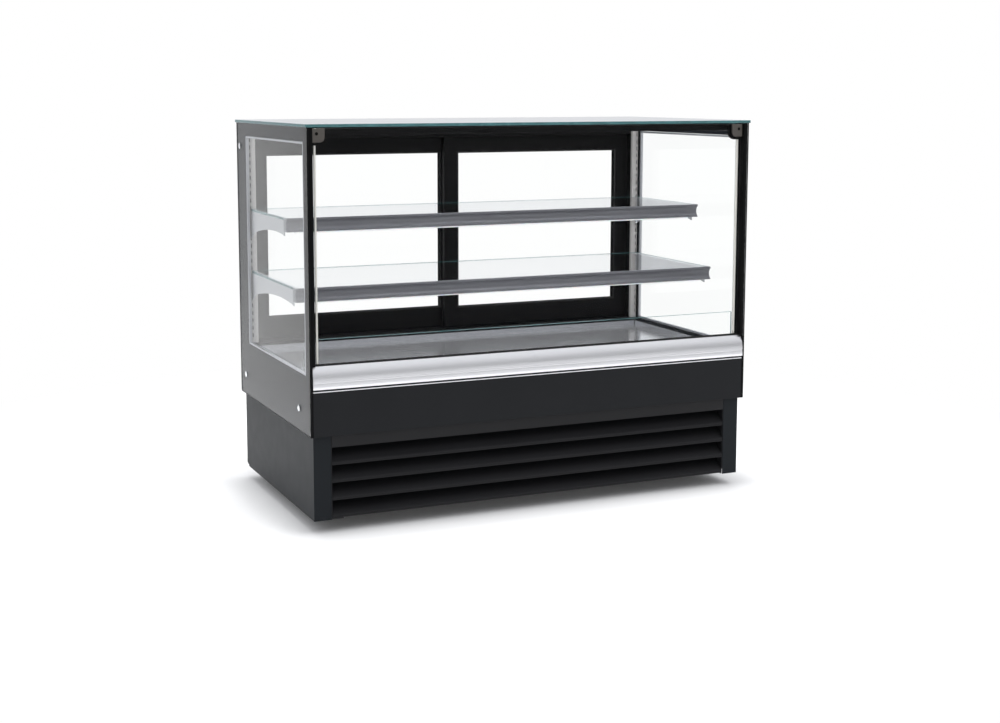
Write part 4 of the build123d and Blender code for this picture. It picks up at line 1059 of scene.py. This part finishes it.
@dataclass
class MachineBase(Assembly):
    """The plinth, its louvres and the machine parts behind them."""

    side_ease: float = 0.0004
    sheet_ease: float = 0.0003
    box_ease: float = 0.0005
    seal_low: Place = (0.6812, -0.3740, 0.0405)
    seal_high: Place = (0.6836, -0.3600, 0.2965)
    rocker: Place = (0.356, 0.3918, 0.3695)
    on_slope: float = 14.5
    off_slope: float = 1.5
    mark_reach: float = 0.0065
    mark_proud: float = 0.0001
    bar_half: Place = (0.0005, 0.0003, 0.0026)
    ring: tuple[Span, ...] = ((0.0020, -0.0003), (0.0020, 0.0003), (0.0028, 0.0003), (0.0028, -0.0003))
    sheet_screws_z: Span = (0.062, 0.276)
    sheet_screw_x: float = 0.715
    sheet_face: float = 0.379
    sheet_screw: float = 0.004
    box_screws_x: Span = (0.3325, 0.5075)
    box_screws_z: Span = (0.337, 0.402)
    box_face: float = 0.393
    box_screw: Place = (0.0026, 0.0008, 0.001)
    seam_foot: Place = (-0.110, -0.063, 0.150)
    shell_half: Span = (0.0750, 0.0670)
    seam: tuple[Span, ...] = (
        (-0.002, 0.0), (0.0008, 0.0012), (0.0014, 0.0035), (0.0008, 0.0058), (-0.002, 0.0070)
    )
    feet: tuple[tuple[Body, float, float], ...] = (
        (Body.FOOT_FRONT_LEFT, -0.660, -0.193),
        (Body.FOOT_FRONT_RIGHT, 0.660, -0.193),
        (Body.FOOT_BACK_LEFT, -0.660, 0.247),
        (Body.FOOT_BACK_RIGHT, 0.660, 0.247),
    )
    pad: tuple[Span, ...] = (
        (0.0190, 0.0002), (0.0220, 0.0002), (0.0225, 0.0008),
        (0.0225, 0.0026), (0.0220, 0.0031), (0.0190, 0.0031),
    )
    nut: tuple[Span, ...] = (
        (0.0051, 0.0297), (0.0090, 0.0297), (0.0098, 0.0304),
        (0.0098, 0.0376), (0.0090, 0.0383), (0.0051, 0.0383),
    )
    thread_radii: Place = (0.0046, 0.0049, 0.0054)
    thread_foot: float = 0.0130
    thread_lead: float = 0.0002
    pitch: float = 0.00125
    turns: int = 13

    def make(self) -> None:
        """Makes the plinth's shell and the small parts on it."""
        for word in SIDES:
            eased_node(f"plinth_{word}", PLINTH_PAINT, self.side_ease)
        eased_node("plinth_rear", PLINTH_PAINT, self.sheet_ease)
        eased_node("grille", LOUVRE_PAINT, self.sheet_ease)
        seals = Form()
        seals.pair(self.seal_low, self.seal_high, self.box_ease)
        seals.piece("grille_side_seals", RUBBER, Slot.BLACK_RUBBER)
        eased_node("control_box", SWITCH_PLASTIC, self.box_ease)
        eased_node("main_switch", SWITCH_PLASTIC, self.ease, Body.SWITCH)
        self.switch_marks()
        self.screws()
        self.weld_band()
        for number, (body, x, y) in enumerate(self.feet, start=1):
            self.foot(number, body, (x, y, 0.0))

    def switch_marks(self) -> None:
        """Makes the raised on and off marks of the rocker."""
        x, y, z = self.rocker
        on_tilt, off_tilt, reach = radians(-self.on_slope), radians(self.off_slope), self.mark_reach
        middle = Vector((x, y + reach * sin(-on_tilt) + self.mark_proud, z + reach))
        half = Vector(self.bar_half)
        marks = Form()
        marks.box(middle - half, middle + half, ease=0.0001, steps=1, tilt=on_tilt)
        foot = (x, y + reach * sin(off_tilt) + self.mark_proud, z - reach)
        marks.turned(closed(self.ring), foot, (0, cos(off_tilt), sin(off_tilt)), steps=28)
        marks.piece("switch_marks", MARK_WHITE, Slot.SWITCH, Body.SWITCH)

    def screws(self) -> None:
        """Makes the screws of the plinth's rear sheet and of the control box."""
        form = Form()
        for z in self.sheet_screws_z:
            for side in SIDES.values():
                form.screw((side * self.sheet_screw_x, self.sheet_face, z), (0, 1, 0), self.sheet_screw)
        for x in self.box_screws_x:
            for z in self.box_screws_z:
                form.screw((x, self.box_face, z), (0, 1, 0), *self.box_screw)
        form.piece("sheet_screws", ZINC_SCREW, Slot.CHROME)

    def weld_band(self) -> None:
        """Makes the seam that goes round the compressor's shell."""
        x, y, _ = self.seam_foot
        long_way, short_way = self.shell_half
        outline = closed([(long_way + out, up) for out, up in self.seam])
        band = Form()
        band.turned(outline, self.seam_foot, (0, 0, 1), steps=64)
        bmesh.ops.scale(
            band.bm,
            vec=(1.0, short_way / long_way, 1.0),
            space=Matrix.Translation((-x, -y, 0.0)),
            verts=band.bm.verts,
        )
        band.piece("compressor_seam", COMPRESSOR_PAINT, Slot.COMPRESSOR)

    def thread(self) -> list[Span]:
        """Gives the outline of a foot's thread, from its foot to its top."""
        core, root, crest = self.thread_radii
        outline = [(core, self.thread_foot - self.thread_lead)]
        for turn in range(self.turns):
            low = self.thread_foot + turn * self.pitch
            outline += [(root, low), (crest, low + self.pitch / 2)]
        end = self.thread_foot + self.turns * self.pitch
        return [*outline, (root, end), (core, end + self.thread_lead)]

    def foot(self, number: int, body: Body, place: Point) -> None:
        """Dresses one levelling foot with its pad, thread and nut.

        Args:
            number: The foot's number.
            body: The body that it turns as.
            place: Where it stands on the floor.
        """
        up = (0, 0, 1)
        eased_node(f"foot_{number}", FOOT_PLASTIC, self.ease, body)
        rubber = Form()
        rubber.turned(closed(self.pad), place, up, steps=48)
        rubber.piece(f"foot_pad_{number}", RUBBER, Slot.FOOT, body)
        steel = Form()
        steel.turned(closed(self.thread()), place, up, steps=24)
        steel.turned(closed(self.nut), place, up, steps=6)
        steel.piece(f"foot_thread_{number}", ZINC_SCREW, Slot.CHROME, body)


def dress_nodes() -> None:
    """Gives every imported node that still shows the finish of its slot."""
    for name, node in frame["nodes"].items():
        if node.hide_render:
            continue
        slot = SLOT_OF[name]
        finish = slot.finish.material()
        for held in node.material_slots:
            held.material = finish
        log.info("node %s wears %s", name, finish.name)


@dataclass(frozen=True)
class Lamp:
    """A soft square lamp: its place, the point it faces, its side and its power in watts."""

    name: str
    place: Point
    aim: Point
    size: float
    power: float

    def hang(self) -> None:
        """Hangs the lamp, unseen by the camera and by mirrors."""
        data = bpy.data.lights.new(self.name, "AREA")
        data.shape = "SQUARE"
        data.size = self.size
        data.energy = self.power
        hung = bpy.data.objects.new(self.name, data)
        hung.location = self.place
        hung.rotation_euler = (Vector(self.aim) - Vector(self.place)).to_track_quat("-Z", "Y").to_euler()
        hung.visible_camera = False
        hung.visible_glossy = False
        bpy.context.scene.collection.objects.link(hung)


@dataclass
class Studio:
    """The white studio, its lamps and the camera of the photograph."""

    camera_place: Place = (-2.04295, -4.57684, 1.31112)
    camera_turn: float = -0.4116
    camera_dip: float = 0.1272
    camera_reach: Span = (0.05, 400.0)
    lens: float = 54.463
    sensor: float = 36.0
    shift: Span = (0.02285, -0.0773)
    front_level: float = 0.12
    rear_level: float = 0.85
    rear_turn: Span = (-0.35, 0.35)
    top_level: float = 0.93
    top_turn: Span = (0.05, 0.6)
    room_tone: tuple[float, float, float, float] = (0.955, 0.968, 1.0, 1.0)
    floor_size: float = 120.0
    floor_grey: float = 0.86
    floor_glow: float = 0.042
    floor_fade: Span = (1.1, 2.4)
    lamps: tuple[Lamp, ...] = (
        Lamp("key_lamp", (-0.2, 0.05, 7.0), (0, -0.05, 0.5), 1.8, 300.0),
        Lamp("fill_lamp", (1.6, -2.6, 3.8), (0, 0, 0.6), 2.8, 50.0),
        Lamp("back_lamp", (0.0, 3.2, 4.0), (0, 0.2, 0.6), 3.0, 50.0),
    )

    def camera(self) -> None:
        """Stands the camera where the photograph was taken from."""
        data = bpy.data.cameras.new("camera")
        data.lens = self.lens
        data.sensor_width = self.sensor
        data.sensor_fit = "HORIZONTAL"
        data.shift_x, data.shift_y = self.shift
        data.clip_start, data.clip_end = self.camera_reach
        stand = bpy.data.objects.new("camera", data)
        stand.location = self.camera_place
        stand.rotation_euler = (pi / 2 - self.camera_dip, 0.0, self.camera_turn)
        bpy.context.scene.collection.objects.link(stand)
        bpy.context.scene.camera = stand

    def world(self) -> None:
        """Lays a white surround that mirrors less where the room in front is dim."""
        world = bpy.data.worlds.new("white_room")
        graph = Graph(world)
        way = graph.node("ShaderNodeSeparateXYZ")
        graph.link(graph.node("ShaderNodeTexCoord").outputs["Generated"], way.inputs[0])
        rear = graph.ranged(way.outputs["Y"], self.rear_turn, (self.front_level, self.rear_level), SOFT)
        above = graph.ranged(way.outputs["Z"], self.top_turn, (self.front_level, self.top_level), SOFT)
        mirrored = graph.math("MAXIMUM", rear, above)
        path = graph.node("ShaderNodeLightPath").outputs
        bounces = graph.math("ADD", path["Glossy Depth"], path["Diffuse Depth"])
        straight = graph.math("LESS_THAN", bounces, 0.5)
        through = graph.math("MAXIMUM", path["Is Camera Ray"], path["Is Transmission Ray"])
        seen = graph.math("MULTIPLY", through, straight)
        strength = graph.node("ShaderNodeMix")
        graph.link(seen, strength.inputs[0])
        graph.link(mirrored, strength.inputs[2])
        strength.inputs[3].default_value = 1.0
        shade = graph.node("ShaderNodeMix")
        shade.data_type = "RGBA"
        graph.link(seen, shade.inputs["Factor"])
        shade.inputs[6].default_value = self.room_tone
        shade.inputs[7].default_value = (1.0, 1.0, 1.0, 1.0)
        back = graph.node("ShaderNodeBackground")
        graph.link(shade.outputs[2], back.inputs["Color"])
        graph.link(strength.outputs[0], back.inputs["Strength"])
        graph.link(back.outputs[0], graph.node("ShaderNodeOutputWorld").inputs["Surface"])
        bpy.context.scene.world = world

    def floor_paint(self) -> Material:
        """Gives the floor's pale paint, which fades into the background away from the case."""
        mix = Mixer("white_floor")
        mix.set(Base_Color=(self.floor_grey,) * 3, Roughness=0.9, Specular_IOR_Level=0.0)
        mix.set(Emission_Color=(1.0, 1.0, 1.0), Emission_Strength=self.floor_glow)
        away = mix.node("ShaderNodeVectorMath", "LENGTH")
        mix.link(mix.places, away.inputs[0])
        fade = mix.ranged(away.outputs["Value"], self.floor_fade, (0.0, 1.0), SOFT)
        path = mix.node("ShaderNodeLightPath").outputs
        seen = mix.math("MAXIMUM", path["Is Camera Ray"], path["Is Transmission Ray"])
        white = mix.node("ShaderNodeEmission", Strength=1.0)
        blend = mix.node("ShaderNodeMixShader")
        mix.link(mix.math("MULTIPLY", fade, seen), blend.inputs[0])
        mix.link(mix.skin.outputs["BSDF"], blend.inputs[1])
        mix.link(white.outputs[0], blend.inputs[2])
        mix.link(blend.outputs[0], mix.out.inputs["Surface"])
        return mix.material

    def floor(self) -> None:
        """Lays a plain white floor that keeps the shadow."""
        form = Form()
        bmesh.ops.create_grid(form.bm, x_segments=1, y_segments=1, size=self.floor_size / 2)
        mesh = bpy.data.meshes.new("floor")
        form.bm.to_mesh(mesh)
        form.bm.free()
        mesh.materials.append(self.floor_paint())
        plane = bpy.data.objects.new("floor", mesh)
        bpy.context.scene.collection.objects.link(plane)

    def build(self) -> None:
        """Sets the stage."""
        bpy.context.scene.view_settings.view_transform = "Standard"
        self.camera()
        self.world()
        self.floor()
        for lamp in self.lamps:
            lamp.hang()
        log.info("studio stands")


def main() -> None:
    """Builds the case piece by piece, then its stage."""
    for assembly in (
        Glazing(),
        Framework(),
        LiftGlass(),
        RearDoor(word="left", body=Body.LEFT_DOOR),
        RearDoor(word="right", body=Body.RIGHT_DOOR),
        Shelves(),
        ColdWell(),
        MachineBase(),
    ):
        assembly.build()
    dress_nodes()
    Studio().build()


if __name__ == "__main__":
    main()
